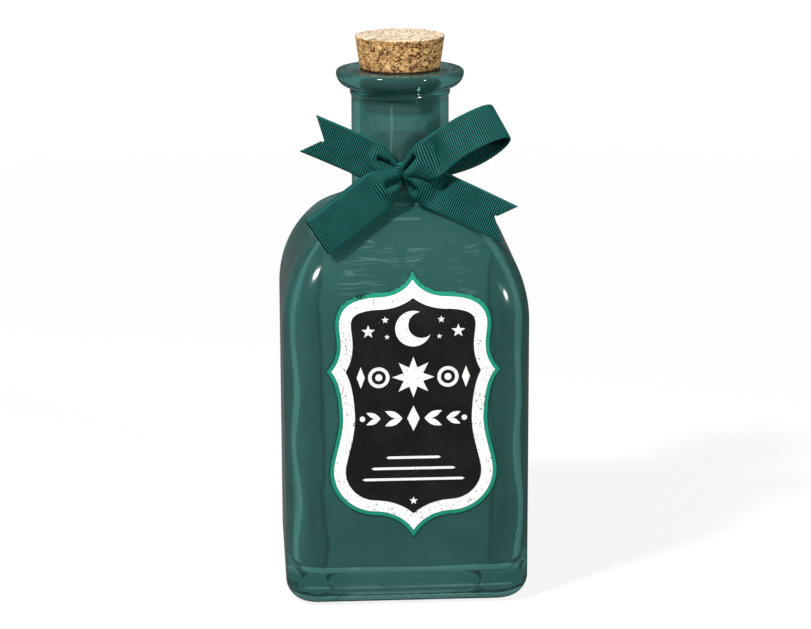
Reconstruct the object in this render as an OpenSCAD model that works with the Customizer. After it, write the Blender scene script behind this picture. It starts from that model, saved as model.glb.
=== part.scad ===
// Square potion bottle of tinted glass with a tapered cork, a ribbon bow and a printed label.
// Millimetres. The origin is the middle of the base, +Z runs up the axis, the label faces -Y.

/* [Glass body] */
// Width of the body across two flat panels
body_width = 67.5; // [64:0.5:72]
// Radius of the upright corners
corner_radius = 9; // [8:0.25:11]
// Radius of the heel between base and panels
heel_radius = 6; // [3:0.25:7]
// Height at which the shoulders begin to curve in
shoulder_height = 79; // [75:0.5:83]
// Radius of the arched shoulders seen from the side
shoulder_radius = 35.2; // [33:0.1:38]
// Radius of the hollow sweep from shoulder to neck
neck_sweep_radius = 3.5; // [2.5:0.1:5]
// Thickness of the body walls
wall = 3.6; // [2.5:0.1:4.5]
// Thickness of the glass between the hollow and the table
base_thickness = 8; // [6:0.25:12]
// Radius between the inner floor and the inner walls
inner_heel_radius = 5; // [3:0.25:5]
// Width of the flat ring that the bottle stands on
standing_ring = 6; // [4:0.25:9]
// Depth of the hollow under the base
push_up = 1.4; // [0.5:0.1:3]

/* [Neck and lip] */
// Outer diameter of the neck
neck_diameter = 27; // [25:0.25:30]
// Inner diameter of the neck and mouth
bore_diameter = 22.4; // [19:0.1:23]
// Height of the glass up to the top of the lip
glass_height = 145; // [138:0.5:155]
// Diameter of the flared lip
lip_diameter = 35.4; // [33:0.1:39]
// Height of the lip from its underside to its top
lip_height = 5; // [4:0.1:7]
// Radius of the upper outer edge of the lip
lip_edge_radius = 1; // [0.5:0.1:1.8]
// Radius of the edge where the cork enters the mouth
mouth_edge_radius = 0.8; // [0.4:0.1:1.5]
// How far the thin ring below the lip stands out
bead_out = 0.4; // [0.2:0.05:0.9]
// Height of the thin ring below the lip
bead_height = 1.5; // [0.8:0.1:2.5]
// Gap between the lip and the thin ring
bead_gap = 0.5; // [0.3:0.1:1.5]

/* [Cork] */
// Length of the cork
cork_length = 21; // [17:0.25:26]
// Length of the cork that stands out of the mouth
cork_exposed = 9.4; // [6:0.1:12]
// Slope of the cork's side from upright, in degrees
cork_taper = 8.1; // [5:0.1:10]
// Play between the cork and the mouth
cork_clearance = 0.15; // [0.1:0.01:0.4]
// Bevel on the cork's two edges
cork_bevel = 0.3; // [0.1:0.05:0.8]

/* [Label] */
// Width of the label across its side points
label_width = 48; // [42:0.2:49]
// Height of the label from top point to bottom point
label_height = 75.3; // [68:0.1:77]
// Height of the label's middle above the table
label_middle = 57.4; // [55:0.1:60]
// Shift of the label to the right of the panel's middle
label_shift = 1.3; // [0:0.1:2]
// Width of the green edge
green_edge = 1.3; // [0.8:0.05:2.5]
// Width of the white band inside the green edge
white_band = 3.2; // [2:0.1:4]
// Thickness of the label paper
paper_thickness = 0.2; // [0.1:0.05:0.4]
// Thickness of each printed field
print_thickness = 0.1; // [0.05:0.05:0.2]
// Layer of glue between paper and glass
glue_layer = 0.05; // [0.02:0.01:0.1]
// Outer radius of the crescent moon
moon_radius = 4.9; // [3.5:0.1:5.5]
// Height of the moon above the label's middle
moon_rise = 21.9; // [20:0.1:23]
// Radius of the two large stars beside the moon
star_radius = 1.9; // [1:0.05:2.4]
// Distance of the two large stars from the moon's middle
star_spread = 12.2; // [10.5:0.1:13]
// Height of the sunburst row above the label's middle
sunburst_rise = 8.4; // [6:0.1:9.5]
// Radius of the sunburst
sunburst_radius = 5.7; // [4:0.1:6]
// Distance of the sprig row below the label's middle
sprig_drop = 3.2; // [2:0.1:6]
// Distance of the upper fine rule below the label's middle
rules_drop = 14.3; // [11:0.1:16]
// Distance from one fine rule to the next
rule_pitch = 3.1; // [2:0.1:3.5]
// Thickness of the three fine rules
rule_thickness = 0.7; // [0.4:0.05:1]

/* [Ribbon] */
// Width of the ribbon
ribbon_width = 11; // [9:0.25:12]
// Thickness of the ribbon
ribbon_thickness = 0.7; // [0.5:0.05:0.9]
// Gap between the ribbon and the neck
neck_clearance = 0.25; // [0.2:0.01:0.4]
// Height of the knot above the foot of the neck
knot_rise = 5.6; // [5:0.1:9]
// Width of the knot
knot_width = 3.4; // [3:0.1:4.5]
// Height of the knot
knot_height = 4.9; // [4.4:0.1:6]
// Height of the gathered ribbon round the neck, at the knot
band_front_height = 4.4; // [3.6:0.1:4.8]
// Height of the gathered ribbon at the back of the neck
band_back_height = 9.4; // [7:0.1:10.5]
// Turn of the bow to the left of the label's middle, in degrees
bow_turn = 3.5; // [0:0.5:12]
// Reach of the upper right loop
upper_loop_reach = 30.6; // [24:0.1:36]
// Angle of the upper right loop above level, in degrees
upper_loop_angle = 24.7; // [20:0.1:45]
// Half of the opening of the upper right loop
upper_loop_opening = 4.5; // [3:0.1:6]
// Turn of the upper right loop that shows its inside, in degrees
upper_loop_roll = 35; // [0:1:40]
// Distance from the knot over which the upper right loop takes that turn
upper_loop_roll_reach = 22; // [18:0.5:28]
// Upward bend of the upper right loop's end
upper_loop_curl = 2.1; // [0:0.1:4]
// Slant of the upper right loop's end
upper_loop_slant = 0.9; // [0:0.1:2]
// How far the upper right loop's end leans forward of the knot
upper_loop_lean = 3.8; // [3:0.1:7]
// Reach of the lower left loop
lower_loop_reach = 26.5; // [22:0.1:30]
// Angle of the lower left loop below level, in degrees
lower_loop_angle = 33.3; // [25:0.5:40]
// Half of the opening of the flattened lower left loop
lower_loop_opening = 1.3; // [1:0.1:2.5]
// Reach of the upper left tail to its points
upper_tail_reach = 27.5; // [20:0.1:34]
// Angle of the upper left tail above level, in degrees
upper_tail_angle = 24.4; // [15:0.2:35]
// How far the upper left tail's end leans forward of the knot
upper_tail_lean = 1.5; // [0:0.1:5]
// Reach of the lower right tail to its points
lower_tail_reach = 32.3; // [24:0.1:36]
// Angle of the lower right tail below level, in degrees
lower_tail_angle = 22.9; // [15:0.1:30]
// Depth of the notch cut into each tail
notch_depth = 4.8; // [2:0.1:7]
// Gap between the lower half of the bow and the shoulder
shoulder_clearance = 0.7; // [0.4:0.05:2]

/* [Hidden] */

// Facets of the exact round surfaces.
$fn = 96;
// Small overlap that keeps cuts clean.
nudge = 0.5;

// Steps along the curves of the lofted glass.
corner_steps = 9;
heel_steps = 5;
shoulder_steps = 14;
sweep_steps = 4;

neck_radius = neck_diameter / 2;
bore_radius = bore_diameter / 2;
lip_radius = lip_diameter / 2;
body_half = body_width / 2;
// The shoulder arc turns about this point, seen from the side.
shoulder_centre = body_half - shoulder_radius;
// The sweep stops this far short of upright, so that the neck leaves it over a hairline step.
sweep_end = 12;
// The square section turns into the round neck over this much of the shoulder.
rounding_reach = 10;
// The inner sweep is wider than the outer one by this much.
inner_sweep_extra = 1.5;

// Height at which a sweep of the given radius is upright beside a neck of the given radius.
function sweep_top(arc, neck, sweep) =
    shoulder_height + sqrt(pow(arc + sweep, 2) - pow(neck + sweep - shoulder_centre, 2));

// Angle of the shoulder arc where it meets the sweep.
function sweep_start(arc, neck, sweep) =
    asin((sweep_top(arc, neck, sweep) - shoulder_height) / (arc + sweep));

// Corner radius of the section whose half width is given: round at the neck, square below.
function section_corner(half, neck, corner) =
    let (share = min(1, max(0, (half - neck) / rounding_reach)),
         blend = share * share * (3 - 2 * share))
    min(half, corner * blend + half * (1 - blend));

// Section stations [half width, corner radius, height] of the heel.
function heel_stations(half, corner, floor_z, heel) =
    [for (i = [0 : heel_steps])
        let (angle = 90 * i / heel_steps, inset = heel * (1 - sin(angle)))
        [half - inset, corner - inset, floor_z + heel * (1 - cos(angle))]];

// Section stations of the arched shoulder.
function shoulder_stations(arc, neck, corner, last) =
    [for (i = [0 : shoulder_steps])
        let (angle = last * i / shoulder_steps,
             half = shoulder_centre + arc * cos(angle))
        [half, section_corner(half, neck, corner), shoulder_height + arc * sin(angle)]];

// Section stations of the hollow sweep up to the neck.
function sweep_stations(arc, neck, corner, sweep, first) =
    [for (i = [1 : sweep_steps])
        let (angle = first + (sweep_end - first) * i / sweep_steps,
             half = neck + sweep * (1 - cos(angle)))
        [half, section_corner(half, neck, corner),
         sweep_top(arc, neck, sweep) - sweep * sin(angle)]];

// One closed section: four rounded corners joined by flat sides.
function section_ring(half, corner, z) =
    [for (quarter = [0 : 3], i = [0 : corner_steps])
        let (angle = 90 * quarter + 90 * i / corner_steps,
             cx = (half - corner) * (quarter == 0 || quarter == 3 ? 1 : -1),
             cy = (half - corner) * (quarter < 2 ? 1 : -1))
        [cx + corner * cos(angle), cy + corner * sin(angle), z]];

// Solid through a list of stations.
module loft(stations) {
    ring_size = 4 * (corner_steps + 1);
    last = len(stations) - 1;
    points = [for (s = stations) each section_ring(s[0], s[1], s[2])];
    sides = [for (i = [0 : last - 1], k = [0 : ring_size - 1])
        let (a = i * ring_size + k,
             b = i * ring_size + (k + 1) % ring_size,
             c = a + ring_size,
             d = b + ring_size)
        each [[a, c, d], [a, d, b]]];
    bottom = [for (k = [0 : ring_size - 1]) k];
    top = [for (k = [ring_size - 1 : -1 : 0]) last * ring_size + k];
    polyhedron(points = points, faces = concat(sides, [bottom, top]));
}

// Body stations for the outside (inset 0) or for the hollow (inset by the wall).
function body_stations(inset, neck, floor_z, heel, sweep) =
    let (arc = shoulder_radius - inset,
         corner = corner_radius - inset,
         first = sweep_start(arc, neck, sweep))
    concat(heel_stations(body_half - inset, corner, floor_z, heel),
           shoulder_stations(arc, neck, corner, first),
           sweep_stations(arc, neck, corner, sweep, first));

inner_sweep_radius = neck_sweep_radius + inner_sweep_extra;
// Smallest corner radius left at the foot of the hollow.
foot_corner = 0.25;
// The inner heel may not be wider than the inner corner.
inner_heel = min(inner_heel_radius, corner_radius - wall - foot_corner);
neck_foot = sweep_top(shoulder_radius, neck_radius, neck_sweep_radius);
bore_foot = sweep_top(shoulder_radius - wall, bore_radius, inner_sweep_radius);

// Radius of the hollow under the base, inside the standing ring.
push_up_radius = body_half - heel_radius - standing_ring;
// The lip starts here, and the thin ring sits below it.
lip_foot = glass_height - lip_height;
bead_top = lip_foot - bead_gap;
// Depth of the curved underside of the lip.
lip_under = lip_height - lip_edge_radius;
lip_out = lip_radius - neck_radius;

// Half outline of neck, thin ring and lip, from the foot of the neck to the mouth.
function neck_outline() = concat(
    [[0, neck_foot - neck_sweep_radius / 2],
     [neck_radius, neck_foot - neck_sweep_radius / 2],
     [neck_radius, bead_top - bead_height]],
    [for (angle = [-60 : 30 : 60])
        [neck_radius + bead_out * cos(angle),
         bead_top - bead_height / 2 + bead_height / 2 * sin(angle)]],
    [[neck_radius, bead_top]],
    [for (angle = [0 : 15 : 90])
        [neck_radius + lip_out * sin(angle), lip_foot + lip_under * (1 - cos(angle))]],
    [for (angle = [0 : 18 : 90])
        [lip_radius - lip_edge_radius * (1 - cos(angle)),
         glass_height - lip_edge_radius * (1 - sin(angle))]],
    [[0, glass_height]]);

// Half outline of the bore with its rounded mouth edge.
function bore_outline() = concat(
    [[0, bore_foot - inner_sweep_radius / 2], [bore_radius, bore_foot - inner_sweep_radius / 2]],
    [for (angle = [0 : 15 : 90])
        [bore_radius + mouth_edge_radius * (1 - cos(angle)),
         glass_height - mouth_edge_radius * (1 - sin(angle))]],
    [[bore_radius + mouth_edge_radius, glass_height + nudge], [0, glass_height + nudge]]);

// Shallow dome under the base.
module push_up_hollow() {
    rotate_extrude()
        polygon(concat(
            [[0, -nudge], [push_up_radius, -nudge]],
            [for (i = [0 : 8])
                [push_up_radius * cos(90 * i / 8), push_up * sin(90 * i / 8)]]));
}

module glass_bottle() {
    color([0.16, 0.38, 0.36, 0.85])
    difference() {
        union() {
            loft(body_stations(0, neck_radius, 0, heel_radius, neck_sweep_radius));
            rotate_extrude() polygon(neck_outline());
        }
        loft(body_stations(wall, bore_radius, base_thickness, inner_heel, inner_sweep_radius));
        rotate_extrude() polygon(bore_outline());
        push_up_hollow();
    }
}

// The cork meets the mouth at this height, with its clearance round it.
cork_seat = glass_height - mouth_edge_radius;
cork_top = glass_height + cork_exposed;
cork_bottom = cork_top - cork_length;

// Radius of the cork's tapered side at a height.
function cork_radius(z) = bore_radius - cork_clearance + (z - cork_seat) * tan(cork_taper);

module cork_stopper() {
    color([0.78, 0.58, 0.36])
    rotate_extrude()
        polygon([
            [0, cork_bottom],
            [cork_radius(cork_bottom) - cork_bevel, cork_bottom],
            [cork_radius(cork_bottom + cork_bevel), cork_bottom + cork_bevel],
            [cork_radius(cork_top - cork_bevel), cork_top - cork_bevel],
            [cork_radius(cork_top) - cork_bevel, cork_top],
            [0, cork_top]]);
}

// Half outline of the label's frame shape as shares of its half width and half height:
// each row is a curve's start, its two handles and its end, from the top point down the left.
label_curves = [
    [[0, 1], [-0.06, 0.9], [-0.19, 0.845], [-0.39, 0.842]],
    [[-0.39, 0.842], [-0.62, 0.84], [-0.88, 0.8], [-0.89, 0.62]],
    [[-0.89, 0.62], [-0.895, 0.52], [-0.8, 0.4], [-1, 0.27]],
    [[-1, 0.27], [-0.88, 0.2], [-0.86, 0.06], [-0.85, -0.07]],
    [[-0.85, -0.07], [-0.845, -0.22], [-0.965, -0.38], [-0.96, -0.49]],
    [[-0.96, -0.49], [-0.955, -0.66], [-0.74, -0.81], [-0.45, -0.82]],
    [[-0.45, -0.82], [-0.24, -0.825], [-0.1, -0.88], [0, -1]]];
curve_steps = 7;

// Point on a curve with two handles.
function curve_point(c, t) =
    c[0] * pow(1 - t, 3) + 3 * c[1] * t * pow(1 - t, 2) + 3 * c[2] * t * t * (1 - t) + c[3] * pow(t, 3);

// Left half of the frame shape, from the top point to the bottom point.
label_left = concat(
    [for (c = label_curves, i = [0 : curve_steps - 1]) curve_point(c, i / curve_steps)],
    [[0, -1]]);
// Full frame shape: the left half and its mirror image.
label_outline = concat(
    label_left,
    [for (i = [len(label_left) - 2 : -1 : 1]) [-label_left[i][0], label_left[i][1]]]);

// Frame shape set in by a distance from the label's edge.
module frame_shape(inset) {
    translate([label_shift, label_middle])
        offset(delta = -inset)
            polygon([for (p = label_outline) [p[0] * label_width / 2, p[1] * label_height / 2]]);
}

// Angles of the facets of the front shoulder, as the glass has them.
label_angles = [for (i = [0 : shoulder_steps / 2])
    sweep_start(shoulder_radius, neck_radius, neck_sweep_radius) * i / shoulder_steps];

// Front face of the glass seen from the side, moved out by a distance.
function front_line(out) = concat(
    [[-body_half - out, heel_radius]],
    [for (angle = label_angles)
        [-shoulder_centre - (shoulder_radius + out) * cos(angle),
         shoulder_height + (shoulder_radius + out) * sin(angle)]]);

// Layer that follows the front face between two distances from it, cut to a flat shape.
module front_layer(inner, outer) {
    back = front_line(inner);
    front = front_line(outer);
    intersection() {
        rotate([90, 0, 0])
            linear_extrude(height = body_width)
                children();
        translate([-body_half, 0, 0])
            rotate([90, 0, 90])
                linear_extrude(height = body_width)
                    polygon(concat(back, [for (i = [len(front) - 1 : -1 : 0]) front[i]]));
    }
}

paper_top = glue_layer + paper_thickness;

module front_label() {
    color([0.12, 0.6, 0.32])
        front_layer(glue_layer, paper_top) frame_shape(0);
}

module label_white_band() {
    color([0.93, 0.94, 0.92])
        front_layer(paper_top, paper_top + print_thickness) frame_shape(green_edge);
}

module label_black_field() {
    color([0.1, 0.11, 0.1])
        front_layer(paper_top + print_thickness, paper_top + 2 * print_thickness)
            frame_shape(green_edge + white_band);
}

// Star with pointed rays; the waist is the share of the radius between two rays.
module star(radius, points = 5, waist = 0.42) {
    polygon([for (i = [0 : 2 * points - 1])
        let (r = i % 2 == 0 ? radius : radius * waist, angle = 90 + 180 * i / points)
        [r * cos(angle), r * sin(angle)]]);
}

// The round bite that makes the moon a crescent: its radius and its shift to the upper right.
moon_bite_radius = 3.6;
moon_bite_shift = [2.25, 1];

// Crescent that opens to the upper right.
module moon() {
    difference() {
        circle(r = moon_radius, $fn = 40);
        translate(moon_bite_shift) circle(r = moon_bite_radius, $fn = 40);
    }
}

// Upright lozenge.
module lozenge(half_width, half_height) {
    polygon([[-half_width, 0], [0, -half_height], [half_width, 0], [0, half_height]]);
}

// Flat ring with a dot in its middle.
module ring_and_dot(radius, stroke) {
    difference() {
        circle(r = radius, $fn = 28);
        circle(r = radius - stroke, $fn = 28);
    }
    circle(r = stroke, $fn = 16);
}

// Leaf between two arcs, from its stalk outwards.
module leaf(length, thickness) {
    polygon(concat(
        [for (i = [0 : 8]) [length * i / 8, thickness / 2 * sin(180 * i / 8)]],
        [for (i = [7 : -1 : 1]) [length * i / 8, -thickness / 2 * sin(180 * i / 8)]]));
}

// Mirrored pair of a shape.
module both_sides() {
    children();
    mirror([1, 0]) children();
}

// Small stars on each side of the moon: [distance to the side, height, radius].
small_stars = [[7.6, 2.5, 1], [7.1, -2.2, 0.75]];
// The large stars stand this far below the moon's middle.
star_drop = 0.7;

module night_sky() {
    moon();
    both_sides() {
        translate([star_spread, -star_drop]) star(star_radius);
        for (s = small_stars) translate([s[0], s[1]]) star(s[2]);
    }
}

// Rings and lozenges on each side of the sunburst: distance to the side, then their sizes.
ring_spread = 9.4;
ring_radius = 2.9;
ring_stroke = 0.95;
side_lozenge_spread = 14.3;
side_lozenge = [1.1, 3];

module sunburst_row() {
    star(sunburst_radius, points = 8, waist = 0.5);
    both_sides() {
        translate([ring_spread, 0]) ring_and_dot(ring_radius, ring_stroke);
        translate([side_lozenge_spread, 0]) lozenge(side_lozenge[0], side_lozenge[1]);
    }
}

// Lozenge between two sprigs: leaf pairs [distance to the side, length, thickness], then a berry.
middle_lozenge = [1.7, 3.6];
leaf_pairs = [[3, 5.2, 1.7], [9, 4.2, 1.4]];
leaf_spread = 24;
berry_spread = 13.9;
berry_radius = 0.75;

module sprig_row() {
    lozenge(middle_lozenge[0], middle_lozenge[1]);
    both_sides() {
        for (pair = leaf_pairs, turn = [-leaf_spread, leaf_spread])
            translate([pair[0], 0]) rotate(turn) leaf(pair[1], pair[2]);
        translate([berry_spread, 0]) circle(r = berry_radius, $fn = 16);
    }
}

// Level bar with pointed ends.
module pointed_bar(length, thickness) {
    half = thickness / 2;
    inner = length / 2 - thickness;
    polygon([[-length / 2, 0], [-inner, -half], [inner, -half],
             [length / 2, 0], [inner, half], [-inner, half]]);
}

// Lengths of the fine rules from the top one down.
rule_lengths = [15, 23, 28];

module fine_rules() {
    for (i = [0 : len(rule_lengths) - 1])
        translate([0, -rules_drop - rule_pitch * i])
            pointed_bar(rule_lengths[i], rule_thickness);
}

// Small star near the label's foot: its distance below the middle and its radius.
foot_star_drop = 26.7;
foot_star_radius = 1.15;

module label_moon_and_stars() {
    color([0.9, 0.91, 0.87])
        front_layer(paper_top + 2 * print_thickness, paper_top + 3 * print_thickness) {
            translate([label_shift, label_middle]) {
                translate([0, moon_rise]) night_sky();
                translate([0, sunburst_rise]) sunburst_row();
                translate([0, -sprig_drop]) sprig_row();
                fine_rules();
                translate([0, -foot_star_drop]) star(foot_star_radius);
            }
        }
}

// Steps along and across each piece of ribbon.
loop_steps = 30;
tail_steps = 12;
cross_steps = 6;
band_steps = 60;

knot_z = neck_foot + knot_rise;
band_radius = neck_radius + neck_clearance;
// Height of the ridges of the gathered ribbon, and its rise from the knot to the back.
band_ridge = 0.35;
band_rise = 2;
// The knot sits against the outside of the band, pressed into its ridges.
knot_forward = band_radius + ribbon_thickness - band_ridge + knot_width / 2;
// Roundness of the barrel of the knot: 1 is a ball, less is fuller.
knot_fullness = 0.45;
// Each lobe leaves the knot at this distance from the knot's middle.
lobe_start = 0.6;
// Share of the ribbon's width left where it is squeezed by the knot.
squeeze = 0.34;
// Distance from the knot over which the ribbon opens to its full width.
opening_reach = 9;
// Height of the puffed fold beside the knot, and the distance over which it dies away.
puff = 1.9;
puff_reach = 7;
// The fold is steepest towards the knot.
puff_lean = 0.7;
// Distance of each layer of a loop from its middle at the knot.
layer_gap = 0.53;
// Brings the widest point of a loop's curve to its opening.
loop_fullness = 1.3;
// Share of a loop's curve that lies inside the knot, at each end.
loop_hidden = 0.02;

// Half width of the glass at a height on the shoulder, the sweep or the neck.
sweep_foot = shoulder_height
    + shoulder_radius * sin(sweep_start(shoulder_radius, neck_radius, neck_sweep_radius));
function glass_half(z) =
    z < shoulder_height ? body_half :
    z < sweep_foot ? shoulder_centre + sqrt(pow(shoulder_radius, 2) - pow(z - shoulder_height, 2)) :
    z < neck_foot ? neck_radius + neck_sweep_radius
        - sqrt(pow(neck_sweep_radius, 2) - pow(neck_foot - z, 2)) :
    neck_radius;

// Distance in front of the axis that a lobe's end needs, so that at a share of its reach
// the lobe passes clear of the shoulder.
function forward_for(share, reach, angle, opening) =
    let (out = reach * share,
         low = knot_z + out * sin(angle) - half_width(out) * abs(cos(angle)),
         back = opening * loop_fullness * 2 * share * sqrt(1 - share) + ribbon_thickness / 2,
         clear = glass_half(low) + shoulder_clearance + back,
         here = (clear - out * cos(angle) * sin(bow_turn)) / cos(bow_turn))
    knot_forward + (here - knot_forward) / share;

function end_forward(reach, angle, opening) =
    max([for (share = [0.3 : 0.1 : 1]) forward_for(share, reach, angle, opening)]);

function ease(t) = let (c = min(1, max(0, t))) c * c * (3 - 2 * c);

// Half width of the ribbon at a distance from the knot.
function half_width(s) = ribbon_width / 2 * (squeeze + (1 - squeeze) * ease(s / opening_reach));

// Height of the puffed fold across the ribbon's middle at a distance from the knot.
function fold_height(s) = s < puff_reach ? puff * sin(180 * pow(s / puff_reach, puff_lean)) : 0;

// Three directions of a lobe: outwards, across the ribbon, and off its face.
function lobe_frame(angle, lean) =
    [[cos(angle) * cos(lean), -sin(lean), sin(angle) * cos(lean)],
     [-sin(angle), 0, cos(angle)],
     [-cos(angle) * sin(lean), -cos(lean), -sin(angle) * sin(lean)]];

// The same directions, turned about the first.
function rolled(frame, roll) =
    [frame[0],
     frame[1] * cos(roll) - frame[2] * sin(roll),
     frame[2] * cos(roll) + frame[1] * sin(roll)];

// Point of a loop's middle line in [distance outwards, distance off the face].
function loop_line(t, length, opening) =
    [lobe_start + (length - lobe_start) * pow(sin(180 * t), 2),
     opening * loop_fullness * sin(360 * t) * sin(180 * t) + layer_gap * cos(180 * t)];

// Unit normal of that line, on its outer side.
function loop_normal(t, length, opening) =
    let (step = 0.002,
         d = loop_line(t + step, length, opening) - loop_line(t - step, length, opening))
    [d[1], -d[0]] / norm(d) * -1;

// Grid of points on one face of a loop, at a distance from its middle line.
function loop_grid(frame, length, opening, roll, curl, slant, off) =
    [for (i = [0 : loop_steps], k = [0 : cross_steps])
        let (t = loop_hidden + (1 - 2 * loop_hidden) * i / loop_steps,
             v = 2 * k / cross_steps - 1,
             line = loop_line(t, length, opening),
             n = loop_normal(t, length, opening),
             turned = rolled(frame, roll * ease(line[0] / upper_loop_roll_reach)),
             share = pow(line[0] / length, 3),
             rise = off + (t < 0.5 ? fold_height(line[0]) * (1 - v * v) : 0))
        turned[0] * (line[0] + n[0] * rise - slant * v * share)
            + turned[1] * (v * half_width(line[0]) + curl * share)
            + turned[2] * (line[1] + n[1] * rise)];

// Grid of points on one face of a tail, whose end is notched.
function tail_grid(frame, length, off) =
    [for (i = [0 : tail_steps], k = [0 : cross_steps])
        let (v = 2 * k / cross_steps - 1,
             end = length - notch_depth * (1 - abs(v)),
             s = lobe_start + (end - lobe_start) * i / tail_steps)
        frame[0] * s
            + frame[1] * v * half_width(s)
            + frame[2] * (off + fold_height(s) * (1 - v * v))];

// Closed strip between two grids of the same size.
module strip(front, back, steps) {
    row = cross_steps + 1;
    count = len(front);
    faces_front = [for (i = [0 : steps - 1], k = [0 : cross_steps - 1])
        let (a = i * row + k, b = a + 1, c = a + row, d = c + 1)
        each [[a, b, d], [a, d, c]]];
    faces_back = [for (i = [0 : steps - 1], k = [0 : cross_steps - 1])
        let (a = count + i * row + k, b = a + 1, c = a + row, d = c + 1)
        each [[a, d, b], [a, c, d]]];
    edges = [for (i = [0 : steps - 1])
        let (a = i * row, c = a + row, e = a + row - 1, g = e + row)
        each [[a, c, count + c], [a, count + c, count + a],
              [e, count + g, g], [e, count + e, count + g]]];
    ends = [for (k = [0 : cross_steps - 1])
        let (a = k, b = k + 1, e = steps * row + k, g = e + 1)
        each [[a, count + b, b], [a, count + a, count + b],
              [e, g, count + g], [e, count + g, count + e]]];
    polyhedron(points = concat(front, back),
        faces = concat(faces_front, faces_back, edges, ends));
}

module loop(reach, angle, forward, opening, roll, curl, slant) {
    rise = forward - knot_forward;
    length = sqrt(reach * reach + rise * rise);
    frame = lobe_frame(angle, asin(rise / length));
    half = ribbon_thickness / 2;
    strip(loop_grid(frame, length, opening, roll, curl, slant, half),
        loop_grid(frame, length, opening, roll, curl, slant, -half), loop_steps);
}

module tail(reach, angle, forward) {
    rise = forward - knot_forward;
    length = sqrt(reach * reach + rise * rise);
    frame = lobe_frame(angle, asin(rise / length));
    half = ribbon_thickness / 2;
    strip(tail_grid(frame, length, half), tail_grid(frame, length, -half), tail_steps);
}

// Gathered band round the neck: narrow at the knot, nearly full width behind.
module neck_band() {
    rows = 6;
    ring = 2 * (rows + 1);
    points = [for (i = [0 : band_steps - 1])
        let (turn = 360 * i / band_steps - 90,
             share = (1 - cos(360 * i / band_steps)) / 2,
             height = band_front_height + (band_back_height - band_front_height) * share,
             middle = knot_z + band_rise * share)
        each concat(
            [for (k = [0 : rows])
                let (r = band_radius + ribbon_thickness + band_ridge * (k % 2))
                [r * cos(turn), r * sin(turn), middle + height * (k / rows - 0.5)]],
            [for (k = [rows : -1 : 0])
                [band_radius * cos(turn), band_radius * sin(turn),
                 middle + height * (k / rows - 0.5)]])];
    faces = [for (i = [0 : band_steps - 1], k = [0 : ring - 1])
        let (a = i * ring + k,
             b = i * ring + (k + 1) % ring,
             c = ((i + 1) % band_steps) * ring + k,
             d = ((i + 1) % band_steps) * ring + (k + 1) % ring)
        each [[a, b, d], [a, d, c]]];
    polyhedron(points = points, faces = faces);
}

// Barrel of ribbon drawn tight over the middle of the bow.
module knot() {
    translate([0, -knot_forward, knot_z])
        rotate_extrude($fn = 32)
            polygon(concat(
                [[0, -knot_height / 2]],
                [for (angle = [-75 : 15 : 75])
                    [knot_width / 2 * pow(cos(angle), knot_fullness),
                     knot_height / 2 * sin(angle)]],
                [[0, knot_height / 2]]));
}

module ribbon_bow() {
    color([0.1, 0.34, 0.32])
    rotate([0, 0, -bow_turn]) {
        neck_band();
        knot();
        translate([0, -knot_forward, knot_z]) {
            loop(upper_loop_reach, upper_loop_angle, knot_forward + upper_loop_lean,
                upper_loop_opening, upper_loop_roll, upper_loop_curl, upper_loop_slant);
            loop(lower_loop_reach, 180 + lower_loop_angle,
                end_forward(lower_loop_reach, 180 + lower_loop_angle, lower_loop_opening),
                lower_loop_opening, 0, 0, 0);
            tail(upper_tail_reach, 180 - upper_tail_angle, knot_forward + upper_tail_lean);
            tail(lower_tail_reach, -lower_tail_angle,
                end_forward(lower_tail_reach, -lower_tail_angle, 0));
        }
    }
}

glass_bottle();
cork_stopper();
front_label();
label_white_band();
label_black_field();
label_moon_and_stars();
ribbon_bow();
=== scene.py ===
# Square potion bottle of teal tinted glass with a cork, a ribbon bow and a printed label.
# Metres. The origin is the middle of the base, +Z runs up the axis, the label faces -Y.
import math

import bmesh
import bpy
import numpy as np
from mathutils import Matrix, Vector
from mathutils.geometry import delaunay_2d_cdt


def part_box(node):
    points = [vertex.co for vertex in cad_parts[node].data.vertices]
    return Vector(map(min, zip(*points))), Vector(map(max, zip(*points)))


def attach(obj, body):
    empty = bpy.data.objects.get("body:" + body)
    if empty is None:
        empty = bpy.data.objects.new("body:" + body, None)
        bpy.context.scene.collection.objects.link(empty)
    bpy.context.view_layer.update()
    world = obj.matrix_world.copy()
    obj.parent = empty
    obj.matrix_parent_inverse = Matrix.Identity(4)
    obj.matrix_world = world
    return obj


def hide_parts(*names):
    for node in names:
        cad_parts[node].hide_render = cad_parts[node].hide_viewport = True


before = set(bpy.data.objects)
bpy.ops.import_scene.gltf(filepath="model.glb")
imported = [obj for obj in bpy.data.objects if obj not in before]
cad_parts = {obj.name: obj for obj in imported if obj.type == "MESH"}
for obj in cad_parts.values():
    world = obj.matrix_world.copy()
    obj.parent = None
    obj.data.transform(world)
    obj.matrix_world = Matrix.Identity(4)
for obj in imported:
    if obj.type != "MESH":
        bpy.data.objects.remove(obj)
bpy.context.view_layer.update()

# Glass body: its half width and height come from the frame, the rest is as it was blown.
glass_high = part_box("glass_bottle")[1]
BODY_HALF = glass_high[0]
GLASS_HEIGHT = glass_high[2]
CORNER_RADIUS = 0.009
HEEL_RADIUS = 0.006
SHOULDER_HEIGHT = 0.079
SHOULDER_RADIUS = 0.0352
SWEEP_RADIUS = 0.0035
INNER_SWEEP_RADIUS = 0.005
WALL = 0.0036
BASE_THICKNESS = 0.008
INNER_HEEL = 0.005
WALL_UNEVENNESS = 0.0004
EVEN_BELOW = BASE_THICKNESS + 0.001
EVEN_ABOVE = 0.104
FLOOR_FADE = 0.008
NECK_FADE = 0.012
STANDING_RING = 0.006
PUSH_UP = 0.0014
ROUNDING_REACH = 0.010

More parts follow.
